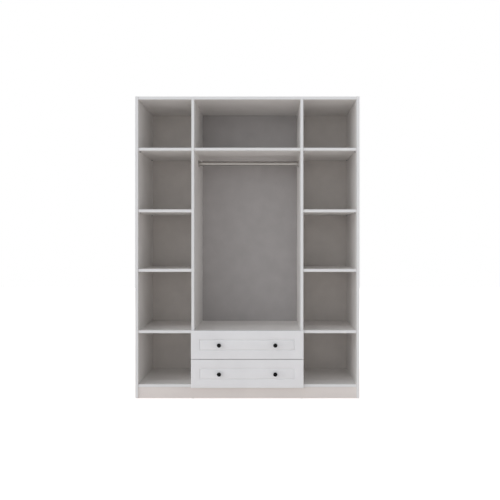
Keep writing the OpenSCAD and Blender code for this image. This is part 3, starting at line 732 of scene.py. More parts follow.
@dataclass(frozen=True)
class Place:
    """Where one fitting sits: the middle of its face, its outward direction and a sideways one."""

    point: Vector
    outward: Vector
    sideways: Vector
    length: float

    def turn(self) -> Quaternion:
        """Gives the turn from +Z to the outward direction and from +X to the sideways one."""
        across = self.outward.cross(self.sideways)
        return Matrix((self.sideways, across, self.outward)).transposed().to_quaternion()


class Solid:
    """One solid of a CAD node, by its points and the box round them."""

    def __init__(self, points: list[Vector]) -> None:
        """Measures the solid.

        Args:
            points: Its points.
        """
        self.points = points
        self.low = Vector([min(p[i] for p in points) for i in range(3)])
        self.high = Vector([max(p[i] for p in points) for i in range(3)])
        self.middle = (self.low + self.high) / 2
        size = list(self.high - self.low)
        self.length = max(size)
        self.longest = size.index(self.length)
        self.shortest = size.index(min(size))

    def place(self, axis: int, hooked: bool = False) -> Place:
        """Works out how a turned solid sits, whose face is its wider end.

        Args:
            axis: The direction of its axis, as 0, 1 or 2.
            hooked: True for a cam. Its face is the end that is closed over the axis, and its
                sideways direction runs to the opening, where alone its wall has points between
                its ends.

        Returns:
            The place of the solid.
        """
        low, high = self.low[axis], self.high[axis]
        along = Vector([1.0 if i == axis else 0.0 for i in range(3)])
        offsets = [(p, p - self.middle - along * (p - self.middle).dot(along)) for p in self.points]
        ends = {}
        for end, value in ((-1, low), (1, high)):
            spans = [offset.length for p, offset in offsets if abs(p[axis] - value) < END_DEPTH]
            ends[end] = min(spans) if hooked else -max(spans)
        face = min(ends, key=lambda end: ends[end])
        radius = max(offset.length for _, offset in offsets)
        sideways = Vector([1.0 if i == (axis + 1) % 3 else 0.0 for i in range(3)])
        if hooked:
            wall = [offset for p, offset in offsets if low + MM < p[axis] < high - MM]
            pull = sum((w for w in wall if w.length > radius * WALL_SHARE), Vector())
            side = max(range(3), key=lambda i: abs(pull[i]))
            sideways = Vector([math.copysign(1.0, pull[i]) if i == side else 0.0 for i in range(3)])
        outward = along * face
        return Place(self.middle + outward * (high - low) / 2, outward, sideways, high - low)


def solids_of(node: Object) -> list[Solid]:
    """Splits a merged copy of a CAD node's mesh into its solids.

    Args:
        node: The CAD node.

    Returns:
        The solids, in the order of their lowest points.
    """
    form = bmesh.new()
    form.from_mesh(node.data)
    bmesh.ops.remove_doubles(form, verts=form.verts, dist=FRAME_MERGE)
    seen = set()
    parts = []
    for start in form.verts:
        if start in seen:
            continue
        seen.add(start)
        front, part = [start], []
        while front:
            vertex = front.pop()
            part.append(vertex.co.copy())
            for edge in vertex.link_edges:
                other = edge.other_vert(vertex)
                if other not in seen:
                    seen.add(other)
                    front.append(other)
        parts.append(part)
    form.free()
    parts.sort(key=lambda part: [round(c, 5) for c in min((p.x, p.y, p.z) for p in part)])
    return [Solid(part) for part in parts]


def discard(piece: Object) -> None:
    """Removes an object and its mesh.

    Args:
        piece: The object.
    """
    mesh = piece.data
    bpy.data.objects.remove(piece)
    bpy.data.meshes.remove(mesh)


def absorb(form: BMesh, mesh: Mesh) -> None:
    """Adds a mesh to a bmesh and removes it from the file."""
    form.from_mesh(mesh)
    bpy.data.meshes.remove(mesh)


def put(piece: Object, body: str, node: str) -> None:
    """Says what a finished piece rides on and which node it stands for.

    Args:
        piece: The piece.
        body: The moving body that carries it.
        node: The CAD node that it replaces.
    """
    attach(piece, body)
    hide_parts(node)
    log.info("%s stands for %s", piece.name, node)


def open_tree(name: str, inputs: dict[str, str]) -> tuple[NodeTree, NodeOutputs]:
    """Starts a Geometry Nodes tree that gives one geometry.

    Args:
        name: The tree's name.
        inputs: The kind of each of its inputs, by the input's name.

    Returns:
        The tree and the sockets that give its inputs.
    """
    tree = bpy.data.node_groups.new(name, "GeometryNodeTree")
    for title, kind in inputs.items():
        tree.interface.new_socket(title, in_out="INPUT", socket_type=f"NodeSocket{kind}")
    tree.interface.new_socket("Geometry", in_out="OUTPUT", socket_type="NodeSocketGeometry")
    return tree, add_node(tree, "NodeGroupInput").outputs


def close_tree(tree: NodeTree, instances: Node, material: NodeSocket) -> None:
    """Ends a Geometry Nodes tree by making its instances real and giving them their finish.

    Args:
        tree: The tree.
        instances: The node that gives the instances.
        material: The tree's input for the finish.
    """
    real = add_node(tree, "GeometryNodeRealizeInstances", {"Geometry": instances})
    dressed = add_node(tree, "GeometryNodeSetMaterial", {"Geometry": real, "Material": material})
    add_node(tree, "NodeGroupOutput", {"Geometry": dressed})


class Scatter:
    """A Geometry Nodes tree that sets one fitting on every point, with a small random spin."""

    def __init__(self) -> None:
        """Builds the tree once."""
        tree, given = open_tree("set_fitting_on_points", {
            "Points": "Geometry", "Fitting": "Object", "Material": "Material",
            "Spin": "Float", "Seed": "Int"})
        self.tree = tree
        turn = add_node(tree, "GeometryNodeInputNamedAttribute", {"Name": "turn"}, data_type="QUATERNION")
        less = add_node(tree, "ShaderNodeMath", {0: given["Spin"], 1: -1.0}, operation="MULTIPLY")
        spin = add_node(tree, "FunctionNodeRandomValue", {
            2: less, 3: given["Spin"], "Seed": given["Seed"]}, data_type="FLOAT")
        about_z = add_node(tree, "ShaderNodeCombineXYZ", {"Z": spin.outputs[1]})
        spun = add_node(tree, "FunctionNodeEulerToRotation", {0: about_z})
        facing = add_node(tree, "FunctionNodeRotateRotation", {0: turn, 1: spun}, rotation_space="LOCAL")
        fitting = add_node(tree, "GeometryNodeObjectInfo", {"Object": given["Fitting"]})
        placed = add_node(tree, "GeometryNodeInstanceOnPoints", {
            "Points": given["Points"], "Instance": fitting.outputs["Geometry"], "Rotation": facing})
        close_tree(tree, placed, given["Material"])

    def make(
        self, name: str, fitting: Object, places: Sequence[Place], material: Material, spin: float
    ) -> Mesh:
        """Sets the fitting on every place.

        Args:
            name: The mesh's name.
            fitting: The shape to repeat, its face at the origin and looking along +Z.
            places: Where the fittings go.
            material: Their finish.
            spin: The largest random turn about the axis, in radians.

        Returns:
            One plain mesh.
        """
        points = bpy.data.meshes.new("points")
        points.from_pydata([place.point for place in places], [], [])
        turns = points.attributes.new("turn", "QUATERNION", "POINT")
        for item, place in zip(turns.data, places):
            item.value = place.turn()
        carrier = bpy.data.objects.new("points", points)
        values = {"Fitting": fitting, "Material": material, "Spin": spin, "Seed": SEED}
        return bake_tree(name, carrier, self.tree, values)


def bake_tree(name: str, carrier: Object, tree: NodeTree, values: dict) -> Mesh:
    """Runs a Geometry Nodes tree on an object and turns the result into a plain mesh.

    Args:
        name: The mesh's name.
        carrier: The object that carries the modifier, which is removed afterwards.
        tree: The tree.
        values: The tree's inputs by name.

    Returns:
        The plain mesh.
    """
    bpy.context.scene.collection.objects.link(carrier)
    modifier = carrier.modifiers.new("nodes", "NODES")
    modifier.node_group = tree
    names = {item.name: item.identifier for item in tree.interface.items_tree if item.in_out == "INPUT"}
    for key, value in values.items():
        modifier[names[key]] = value
    depsgraph = bpy.context.evaluated_depsgraph_get()
    mesh = bpy.data.meshes.new_from_object(carrier.evaluated_get(depsgraph), depsgraph=depsgraph)
    mesh.name = name
    for attribute in [a for a in mesh.attributes if a.name == "turn"]:
        mesh.attributes.remove(attribute)
    discard(carrier)
    return mesh


@dataclass(frozen=True)
class ScrewForm:
    """A countersunk chipboard screw, cross-recessed and threaded to its tip."""

    head: float = 7.0
    ease: float = 0.1
    rim: float = 0.3
    shank: float = 4.0
    core: float = 2.6
    length: float = 14.0
    tip: float = 4.0
    pitch: float = 1.4
    rise: float = 0.45  # share of the pitch before each crest
    recess: CrossRecess = CrossRecess(1.9, 0.85, 1.6)
    segments: int = 20

    def build(self) -> Object:
        """Makes one screw.

        Returns:
            The screw, its face at the origin and its tip along -Z.
        """
        form = bmesh.new()
        neck = -self.rim - (self.head - self.core) / 2
        profile = [(self.head / 2, -self.ease), (self.head / 2, -self.rim), (self.core / 2, neck)]
        profile += thread(neck, self.tip - self.length, self.pitch, self.shank, self.core, self.rise)
        profile += [(self.core / 3, -self.length + self.tip / 3), (0, -self.length)]
        rim = level_ring(form, circle(self.head / 2 - self.ease, self.segments), 0)
        edge = level_ring(form, circle(self.head / 2, self.segments), -self.ease)
        join_ring(form, rim, edge)
        lathe(form, profile, self.segments)
        self.recess.close(form, rim)
        return as_object("screw_form", form)


@dataclass(frozen=True)
class PanScrewForm:
    """A machine screw with a low domed head, which holds a knob through the front."""

    head: float = 8.0
    head_height: float = 2.4
    # From the flat top outwards: shares of the head's diameter and of its height
    dome: tuple = ((0.32, 0.0), (0.43, 0.18), (0.48, 0.5))
    ease: tuple[float, float] = (0.2, 0.1)  # inwards and upwards, at the edge of the underside
    shank: float = 4.0
    length: float = 30.0
    bevel: float = 0.5
    recess: CrossRecess = CrossRecess(2.2, 0.95, 1.4)
    segments: int = 24

    def build(self) -> Object:
        """Makes one screw.

        Returns:
            The screw, the top of its head at the origin and its tip along -Z.
        """
        form = bmesh.new()
        radius, shank, under = self.head / 2, self.shank / 2, -self.head_height
        profile = [(self.head * wide, under * down) for wide, down in self.dome]
        rim = level_ring(form, circle(profile[0][0], self.segments), 0)
        profile += [(radius, under + self.ease[1]), (radius - self.ease[0], under), (shank, under),
                    (shank, self.bevel - self.length), (shank - self.bevel, -self.length), (0, -self.length)]
        lathe(form, profile, self.segments)
        self.recess.close(form, rim)
        return as_object("pan_screw_form", form)


@dataclass(frozen=True)
class NailForm:
    """A wire nail with a slightly domed head."""

    head: float = 4.0
    # From the top's middle to the underside: share of the head's radius, and depth
    dome: tuple = ((0.0, 0.0), (0.55, 0.04), (0.9, 0.14), (1.0, 0.3), (0.97, 0.6))
    neck: float = 0.2
    shank: float = 1.6
    length: float = 20.0
    tip: float = 2.0
    segments: int = 12

    def build(self) -> Object:
        """Makes one nail.

        Returns:
            The nail, the top of its head at the origin and its tip along -Z.
        """
        form = bmesh.new()
        profile = [(self.head / 2 * share, -depth) for share, depth in self.dome]
        shank, under = self.shank / 2, profile[-1][1]
        profile += [(shank, under - self.neck), (shank, self.tip - self.length), (0, -self.length)]
        lathe(form, profile, self.segments)
        return as_object("nail_form", form)


@dataclass(frozen=True)
class CamForm:
    """A die-cast cam lock: a thin face with a cross recess over a hooked wall that grips the bolt's head."""

    height: float
    diameter: float = 15.0
    rim: float = 0.4
    face: float = 3.2
    wall: float = 2.6
    gap: float = 84.0  # angle of the opening
    recess: CrossRecess = CrossRecess(4.5, 2.0, 2.0)
    segments: int = 40

    def build(self) -> Object:
        """Makes one cam.

        Returns:
            The cam, its face at the origin and its opening towards +X.
        """
        form = bmesh.new()
        r = self.diameter / 2
        rim = level_ring(form, circle(r - self.rim, self.segments), 0)
        lathe(form, [(r - self.rim, 0), (r, -self.rim), (r, -self.face), (0, -self.face)], self.segments)
        self.recess.close(form, rim)
        outer = round_points((0, 0), r, self.gap / 2, 360 - self.gap / 2, self.segments)
        inner = round_points((0, 0), r - self.wall, 360 - self.gap / 2, self.gap / 2, self.segments)
        low = level_ring(form, outer + inner, -self.height)
        high = level_ring(form, outer + inner, -self.face)
        join_ring(form, low, high)
        count = len(outer)
        for ring in (low, high):
            for i in range(count - 1):
                form.faces.new((ring[i], ring[i + 1], ring[2 * count - 2 - i], ring[2 * count - 1 - i]))
        return as_object("cam_form", form)


@dataclass(frozen=True)
class BoltForm:
    """A cam bolt: a headed pin with a waist for the cam, and a coarse thread that sits in the board."""

    head: float = 5.6
    ease: float = 0.4
    head_length: float = 4.0
    waist: float = 4.0
    thread: float = 5.0
    core: float = 3.6
    thread_length: float = 11.0
    length: float = 37.0
    pitch: float = 1.8
    rise: float = 0.4
    segments: int = 14

    def build(self) -> Object:
        """Makes one bolt.

        Returns:
            The bolt, its head's end at the origin and its thread along -Z.
        """
        form = bmesh.new()
        top = self.thread_length - self.length
        profile = [(0, 0), (self.head / 2 - self.ease, 0), (self.head / 2, -self.ease),
                   (self.head / 2, self.ease - self.head_length), (self.waist / 2, -self.head_length),
                   (self.waist / 2, top)]
        profile += thread(top, self.pitch - self.length, self.pitch, self.thread, self.core, self.rise)
        profile += [(self.core / 2 - self.ease, -self.length), (0, -self.length)]
        lathe(form, profile, self.segments)
        return as_object("bolt_form", form)


class Fastenings:
    """The screws, nails and cams, which stand for the plain ones of the CAD frame."""

    def __init__(self, frame: dict, finishes: Finishes) -> None:
        """Makes one form of each fitting and the tree that repeats it.

        Args:
            finishes: The wardrobe's materials.
        """
        self.nodes = frame["nodes"]
        self.finishes = finishes
        self.scatter = Scatter()
        self.screw = ScrewForm().build()
        self.pan_screw = PanScrewForm().build()
        self.nail = NailForm().build()
        self.board_cam = CamForm(height=13.0).build()
        self.drawer_cam = CamForm(height=12.0).build()
        self.bolt = BoltForm().build()

    def spread(
        self, node: str, name: str, body: str, slot: str,
        kinds: Sequence[tuple[Object, list, float]],
    ) -> None:
        """Repeats several forms as one piece that stands for a CAD node.

        Args:
            node: The CAD node.
            name: The piece's name.
            body: The moving body that carries it.
            slot: The record's slot of its finish.
            kinds: For each form, the form, its places and its largest spin.
        """
        form = bmesh.new()
        for template, places, spin in kinds:
            absorb(form, self.scatter.make(name, template, places, self.finishes[slot], spin))
        whole = bpy.data.meshes.new(name)
        form.to_mesh(whole)
        form.free()
        put(link_mesh(name, whole, self.finishes[slot]), body, node)

    def carcass(self) -> None:
        """Makes the nails of the back, the cams of the boards and the screws of the carcass."""
        nails = [nail.place(1) for nail in solids_of(self.nodes["back_nails"])]
        self.spread("back_nails", "back_nail_heads", "carcass", "plated_steel", [(self.nail, nails, math.pi)])
        cams = [cam.place(cam.shortest, hooked=True) for cam in solids_of(self.nodes["cam_locks"])]
        self.spread("cam_locks", "board_cam_locks", "carcass", "zinc_casting", [(self.board_cam, cams, 0.0)])
        screws = [screw.place(screw.longest) for screw in solids_of(self.nodes["carcass_screws"])]
        self.spread("carcass_screws", "countersunk_screws", "carcass", "plated_steel",
                    [(self.screw, screws, math.pi)])

    def drawer(self, level: Level) -> None:
        """Makes the screws, cams and bolts of one drawer.

        Args:
            level: Which drawer.
        """
        body = f"{level.value}_drawer"
        places = [screw.place(screw.longest) for screw in solids_of(self.nodes[f"{body}_screws"])]
        pans = [p for p in places if p.length > BOLT_LENGTH]
        flats = [p for p in places if p.length <= BOLT_LENGTH]
        self.spread(f"{body}_screws", f"{body}_screw_set", body, "plated_steel",
                    [(self.screw, flats, math.pi), (self.pan_screw, pans, math.pi)])
        fittings = solids_of(self.nodes[f"{body}_cam_fittings"])
        bolts = [f.place(f.longest) for f in fittings if f.length > BOLT_LENGTH]
        cams = [f.place(f.shortest, hooked=True) for f in fittings if f.length <= BOLT_LENGTH]
        self.spread(f"{body}_cam_fittings", f"{body}_cams_and_bolts", body, "zinc_casting",
                    [(self.drawer_cam, cams, 0.0), (self.bolt, bolts, math.pi)])

    def clear(self) -> None:
        """Removes the forms that were only there to be repeated."""
        for form in (self.screw, self.pan_screw, self.nail, self.board_cam, self.drawer_cam, self.bolt):
            discard(form)


@dataclass(frozen=True)
class Knob:
    """A round knob, moulded in one piece with a waisted foot."""

    diameter: float = 25.0
    projection: float = 24.0
    foot: float = 13.0
    foot_height: float = 2.0
    foot_bevel: float = 0.4
    foot_ease: float = 0.5
    neck: float = 9.0
    waist_round: float = 1.6
    hollow_round: float = 2.4
    hollow_drop: float = 3.2
    hollow_end: float = 118.0
    head_height: float = 9.0
    rim: float = 4.0
    rim_from: float = -62.0  # angles from the widest place, below and above
    rim_to: float = 78.0
    dome: float = 1.0
    segments: int = 72

    def profile(self) -> list[tuple[float, float]]:
        """Works out the line that is turned into the knob.

        Returns:
            Radius and height of each point, from the face of the drawer's front.
        """
        under = self.projection - self.head_height
        foot, ease = self.foot / 2, self.foot_ease
        waist, hollow = self.waist_round, self.hollow_round
        points = [(0, 0), (foot - self.foot_bevel, 0), (foot, self.foot_bevel),
                  (foot, self.foot_height - ease)]
        points += round_points((foot - ease, self.foot_height - ease), ease, 0, 90, 3)
        points += round_points((self.neck / 2 + waist, self.foot_height + waist), waist, 270, 180, 5)
        centre = (self.neck / 2 + hollow, under - self.hollow_drop)
        points += round_points(centre, hollow, 180, self.hollow_end, 5)
        centre = (self.diameter / 2 - self.rim, self.projection - self.dome - self.rim)
        points += round_points(centre, self.rim, self.rim_from, self.rim_to, 18)
        top = points[-1]
        for step in (0.8, 0.6, 0.4, 0.2):
            points.append((top[0] * step, top[1] + (self.projection - top[1]) * (1 - step**2)))
        return points + [(0, self.projection)]

    def build(self, form: BMesh, place: Vector) -> None:
        """Adds one knob that stands out along -Y.

        Args:
            form: The shape that gets it.
            place: The middle of its foot.
        """
        one = bmesh.new()
        lathe(one, self.profile(), self.segments)
        outward = Matrix.Translation(place) @ Matrix.Rotation(math.pi / 2, 4, "X")
        bmesh.ops.transform(one, matrix=outward, verts=one.verts)
        mesh = bpy.data.meshes.new("knob")
        one.to_mesh(mesh)
        one.free()
        absorb(form, mesh)


@dataclass(frozen=True)
class FrontForm:
    """A foil-wrapped drawer front with soft edges and a routed frame line."""

    ease: float = 3.0
    corner: float = 1.2
    corner_least: float = 0.4
    corner_taper: float = 0.25  # what the corner's radius loses with each millimetre of the easing
    rear_bevel: float = 0.5
    # The routed line: its middle's inset, its width at the face and on its floor, and its depth
    margin: float = 54.0
    line: float = 9.5
    floor: float = 4.0
    depth: float = 4.0
    lip: float = 0.9
    router: float = 3.5
    router_least: float = 0.5
    corner_steps: int = 6

    def rings(self, thickness: float) -> list[tuple[float, float, float]]:
        """Works out the rings of points that the front is skinned over.

        Args:
            thickness: The front's thickness.

        Returns:
            Inset, depth behind the face and corner radius of each ring, from the rear inwards.
        """
        bevel = self.rear_bevel
        rings = [(bevel, thickness, self.corner), (0.0, thickness - bevel, self.corner)]
        for x, y in round_points((self.ease, self.ease), self.ease, 180, 270, 8):
            rings.append((x, y, max(self.corner - x * self.corner_taper, self.corner_least)))
        edge, slope = -self.line / 2, (self.line - self.floor) / 2
        # From the foil's soft lip down the slope to the middle of the line's floor
        wall = [(edge - self.lip, 0.0), (edge - self.lip * 0.4, 0.08), (edge + self.lip * 0.2, 0.42),
                (edge + slope * 0.75, self.depth - 0.5), (edge + slope + 0.1, self.depth - 0.1),
                (-self.floor / 2 + 0.8, self.depth), (0.0, self.depth)]
        profile = wall + [(-x, y) for x, y in reversed(wall[:-1])]
        rings += [(self.margin + x, y, max(self.router - x, self.router_least)) for x, y in profile]
        return rings

    def outline(self, half_w: float, half_h: float, radius: float) -> list[tuple[float, float]]:
        """Gives the points of a rectangle with round corners.

        Args:
            half_w: Half its width.
            half_h: Half its height.
            radius: The corners' radius.

        Returns:
            The points, anticlockwise from the right.
        """
        points = []
        for sx, sz, start in ((1, 1, 0), (-1, 1, 90), (-1, -1, 180), (1, -1, 270)):
            centre = (sx * (half_w - radius), sz * (half_h - radius))
            points += round_points(centre, radius, start, start + 90, self.corner_steps)
        return points

    def build(self, name: str, low: Vector, high: Vector, material: Material) -> Object:
        """Makes the front in the space of its CAD solid.

        Args:
            name: The piece's name.
            low: The solid's lowest corner.
            high: The solid's highest corner.
            material: Its finish.

        Returns:
            The front.
        """
        form = bmesh.new()
        middle = (low + high) / 2
        half = (high - low) / 2 / MM
        previous = None
        for inset, behind, radius in self.rings((high.y - low.y) / MM):
            ring = [form.verts.new((middle.x + x * MM, low.y + behind * MM, middle.z + z * MM))
                    for x, z in self.outline(half.x - inset, half.z - inset, radius)]
            if previous:
                join_ring(form, previous, ring)
            else:
                form.faces.new(ring)
            previous = ring
        form.faces.new(previous)
        return as_object(name, form, material)


@dataclass
class BallCage:
    """The pressed ball cages of a runner: a channel with a window for every ball."""

    count: int = 8
    ball: float = 4.0
    sheet: float = 0.5
    window: float = 4.3
    web_window: float = 6.88
    window_steps: int = 14
    margin: float = 3.0  # from the balls' centres to the flanges' free edges
    tree: NodeTree = field(init=False)

    def __post_init__(self) -> None:
        """Builds the tree once: a row of cells, and two rows of balls in their windows."""
        tree, given = open_tree("repeat_cage_cells", {
            "Base": "Geometry", "Cell": "Object", "Material": "Material", "Count": "Int",
            "Pitch": "Float", "Ball Diameter": "Float",
            "Start": "Vector", "Upper Row": "Vector", "Lower Row": "Vector"})
        self.tree = tree
        step = add_node(tree, "ShaderNodeCombineXYZ", {"Y": given["Pitch"]})
        line = add_node(tree, "GeometryNodeMeshLine", {
            "Count": given["Count"], "Start Location": given["Start"], "Offset": step}, mode="OFFSET")
        cell = add_node(tree, "GeometryNodeObjectInfo", {"Object": given["Cell"]})
        cells = add_node(tree, "GeometryNodeInstanceOnPoints", {
            "Points": line, "Instance": cell.outputs["Geometry"]})
        radius = add_node(tree, "ShaderNodeMath", {0: given["Ball Diameter"], 1: 0.5}, operation="MULTIPLY")
        ball = add_node(tree, "GeometryNodeMeshUVSphere", {"Segments": 16, "Rings": 10, "Radius": radius})
        join = add_node(tree, "GeometryNodeJoinGeometry", {0: cells})
        for name in ("Upper Row", "Lower Row"):
            row = add_node(tree, "GeometryNodeTransform", {"Geometry": line, "Translation": given[name]})
            balls = add_node(tree, "GeometryNodeInstanceOnPoints", {"Points": row, "Instance": ball})
            fill(join, {0: balls})
        close_tree(tree, join, given["Material"])

    def plate(self, form: BMesh, corners: Sequence[Vector], hole: float, thick: Vector) -> None:
        """Adds a rectangular plate with a round window.

        Args:
            form: The shape.
            corners: Three corners: the origin, the end of the width and the end of the length.
            hole: Diameter of the window, in metres.
            thick: The plate's thickness, as an offset.
        """
        start, wide, long = corners
        centre = (wide + long) / 2
        u = (wide - start).normalized()
        v = (long - start).normalized()
        outline = [start, wide, wide + long - start, long]
        round_hole = [centre + u * x + v * y for x, y in circle(hole / 2, self.window_steps)]
        sheets = []
        for offset in (Vector(), thick):
            rings = [[form.verts.new(p + offset) for p in ring] for ring in (outline, round_hole)]
            fill_between(form, *rings)
            sheets.append(rings)
        for ring_a, ring_b in zip(*sheets):
            join_ring(form, ring_a, ring_b)

    def cell(self, side: float, width: float, height: float, pitch: float) -> Object:
        """Makes one cell of the cage, centred on its balls, with its web at the origin.

        Args:
            side: +1 where the flanges reach along +X, or -1.
            width: Reach of the flanges, in metres.
            height: Height over the flanges, in metres.
            pitch: Length of the cell, in metres.

        Returns:
            The cell.
        """
        form = bmesh.new()
        half, sheet = pitch / 2, self.sheet * MM
        for edge in (-1, 1):
            z = edge * height / 2
            self.plate(form, [Vector((0, -half, z)), Vector((side * width, -half, z)), Vector((0, half, z))],
                       self.window * MM, Vector((0, 0, -edge * sheet)))
        low = -height / 2 + sheet
        self.plate(form, [Vector((0, -half, low)), Vector((0, -half, -low)), Vector((0, half, low))],
                   self.web_window * MM, Vector((side * sheet, 0, 0)))
        return as_object("cage_cell", form)

    def build(self, node: Object, name: str, material: Material) -> Object:
        """Makes both cages of a node in the space of its CAD solids.

        Args:
            node: The CAD node.
            name: The piece's name.
            material: Its finish.

        Returns:
            The two cages, as one piece.
        """
        form = bmesh.new()
        for channel in solids_of(node):
            low, high, middle = channel.low, channel.high, channel.middle
            side = 1 if middle.x < 0 else -1
            web = low.x if side > 0 else high.x
            width, pitch = high.x - low.x, (high.y - low.y) / self.count
            row = (high.z - low.z) / 2 - self.ball / 2 * MM
            height = 2 * row + self.sheet * MM
            cell = self.cell(side, width, height, pitch)
            reach = Vector((side * (width - self.margin * MM), 0, 0))
            carrier = bpy.data.objects.new("base", bpy.data.meshes.new("base"))
            mesh = bake_tree(name, carrier, self.tree, {
                "Cell": cell, "Material": material, "Count": self.count, "Pitch": pitch,
                "Ball Diameter": self.ball * MM, "Start": Vector((web, low.y + pitch / 2, middle.z)),
                "Upper Row": reach + Vector((0, 0, row)), "Lower Row": reach - Vector((0, 0, row))})
            absorb(form, mesh)
            discard(cell)
        return as_object(name, form, material)


@dataclass(frozen=True)
class ReleaseLever:
    """The black tongue riveted into a drawer's runner member, which lets the drawer off its runner."""

    web: float = 1.2
    from_front: float = 165.0
    # Along the tongue from behind its pivot, the half width at each distance
    widths: tuple = (
        (5.0, 0.7), (4.3, 2.6), (2.6, 4.3), (0.0, 5.0), (-2.6, 4.3), (-4.6, 2.7), (-8.0, 2.0), (-20.0, 1.8),
        (-33.0, 1.9), (-36.5, 3.0), (-39.0, 4.2), (-44.0, 4.6), (-47.0, 4.2), (-48.6, 3.0), (-49.4, 1.2))
    bow: float = 2.6
    bow_length: float = 36.0
    standoff: float = 2.6
    thickness: float = 2.2
    ease: float = 0.35
    post: float = 3.0
    rivet: float = 2.2
    rivet_height: float = 0.6
    # Going up the rivet's head: shares of its height and of its radius
    rivet_dome: tuple = ((0.4, 1.0), (0.85, 0.75), (1.0, 0.35))
    overlap: float = 0.2
    least: float = 0.2  # the least half width of the tongue
    segments: int = 20

    def outline(self, inset: float) -> list[tuple[float, float]]:
        """Gives the points round the tongue.

        Args:
            inset: How far they are drawn in from its edge.

        Returns:
            The points, as distance along the tongue and height.
        """
        along_bow = [min(max(-y, 0) / self.bow_length, 1.0) for y, _ in self.widths]
        middle = [self.bow * math.sin(math.pi * share) for share in along_bow]
        halves = [max(half - inset, self.least) for _, half in self.widths]
        along = [y - math.copysign(inset, y) if i in (0, len(self.widths) - 1) else y
                 for i, (y, _) in enumerate(self.widths)]
        upper = [(y, m + h) for y, m, h in zip(along, middle, halves)]
        lower = [(y, m - h) for y, m, h in zip(along, middle, halves)]
        return upper + lower[::-1]

    def stack(self, form: BMesh, pivot: Vector, side: float, rings: Sequence[tuple[float, list]]) -> None:
        """Joins outlines at rising heights over the member's web into one closed solid.

        Args:
            form: The shape that gets it.
            pivot: The pivot on the web, in metres.
            side: +1 where the member opens along +X, or -1.
            rings: For each height in millimetres, the points of the outline there.
        """
        made = [[form.verts.new(pivot + Vector((side * height, y, z)) * MM) for y, z in points]
                for height, points in rings]
        for low, high in zip(made, made[1:]):
            join_ring(form, low, high)
        form.faces.new(made[0])
        form.faces.new(made[-1])

    def build(self, node: Object, name: str, material: Material) -> Object:
        """Makes the levers of both runners of a drawer.

        Args:
            node: The CAD node of the drawer's runner members.
            name: The piece's name.
            material: Its finish.

        Returns:
            The two levers, as one piece.
        """
        form = bmesh.new()
        for member in solids_of(node):
            side = 1 if member.low.x > 0 else -1
            web = member.low.x if side > 0 else member.high.x
            along = member.low.y + self.from_front * MM
            pivot = Vector((web + side * self.web * MM, along, member.middle.z))
            base, top = self.standoff, self.standoff + self.thickness
            self.stack(form, pivot, side, [
                (base, self.outline(self.ease)), (base + self.ease, self.outline(0.0)),
                (top - self.ease, self.outline(0.0)), (top, self.outline(self.ease))])
            dome = [(top + self.rivet_height * rise, self.rivet * share) for rise, share in self.rivet_dome]
            post = [(0.0, self.post), (base + self.overlap, self.post)]
            for profile in (post, [(top - self.overlap, self.rivet), *dome]):
                self.stack(form, pivot, side, [(h, circle(r, self.segments)) for h, r in profile])
        return as_object(name, form, material)


class Drawer:
    """One drawer: its foil front and knobs, and the ball cages and release levers of its runners."""

    def __init__(self, frame: dict, finishes: Finishes, level: Level) -> None:
        """Keeps what the drawer is made from.

        Args:
            finishes: The wardrobe's materials.
            level: Which drawer.
        """
        self.nodes = frame["nodes"]
        self.finishes = finishes
        self.level = level.value
        self.body = f"{level.value}_drawer"

    def front(self) -> None:
        """Makes the front."""
        node = f"{self.level}_drawer_front"
        low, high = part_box(node)
        piece = FrontForm().build(f"{self.level}_foil_front", low, high, self.finishes["white_foil_front"])
        put(piece, self.body, node)

    def knobs(self) -> None:
        """Makes the pair of knobs."""
        node = f"{self.level}_drawer_knobs"
        form = bmesh.new()
        for knob in solids_of(self.nodes[node]):
            front_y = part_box(f"{self.level}_drawer_front")[0].y
            Knob().build(form, Vector((knob.middle.x, front_y, knob.middle.z)))
        piece = as_object(f"{self.level}_knob_pair", form, self.finishes["black_knob"])
        put(piece, self.body, node)

    def levers(self) -> None:
        """Makes the release levers of both runners."""
        runners = self.nodes[f"{self.level}_drawer_runners"]
        piece = ReleaseLever().build(runners, f"{self.level}_release_levers", self.finishes["black_knob"])
        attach(piece, self.body)
        log.info("%s added", piece.name)

    def cages(self, maker: BallCage) -> None:
        """Makes the ball cages of both runners.

        Args:
            maker: What builds them.
        """
        for stage in Stage:
            node = f"{self.level}_{stage.value}_cages"
            piece = maker.build(self.nodes[node], f"{self.level}_{stage.value}_ball_cages",
                                self.finishes["plated_steel"])
            put(piece, f"{self.level}_{stage.value}_balls", node)


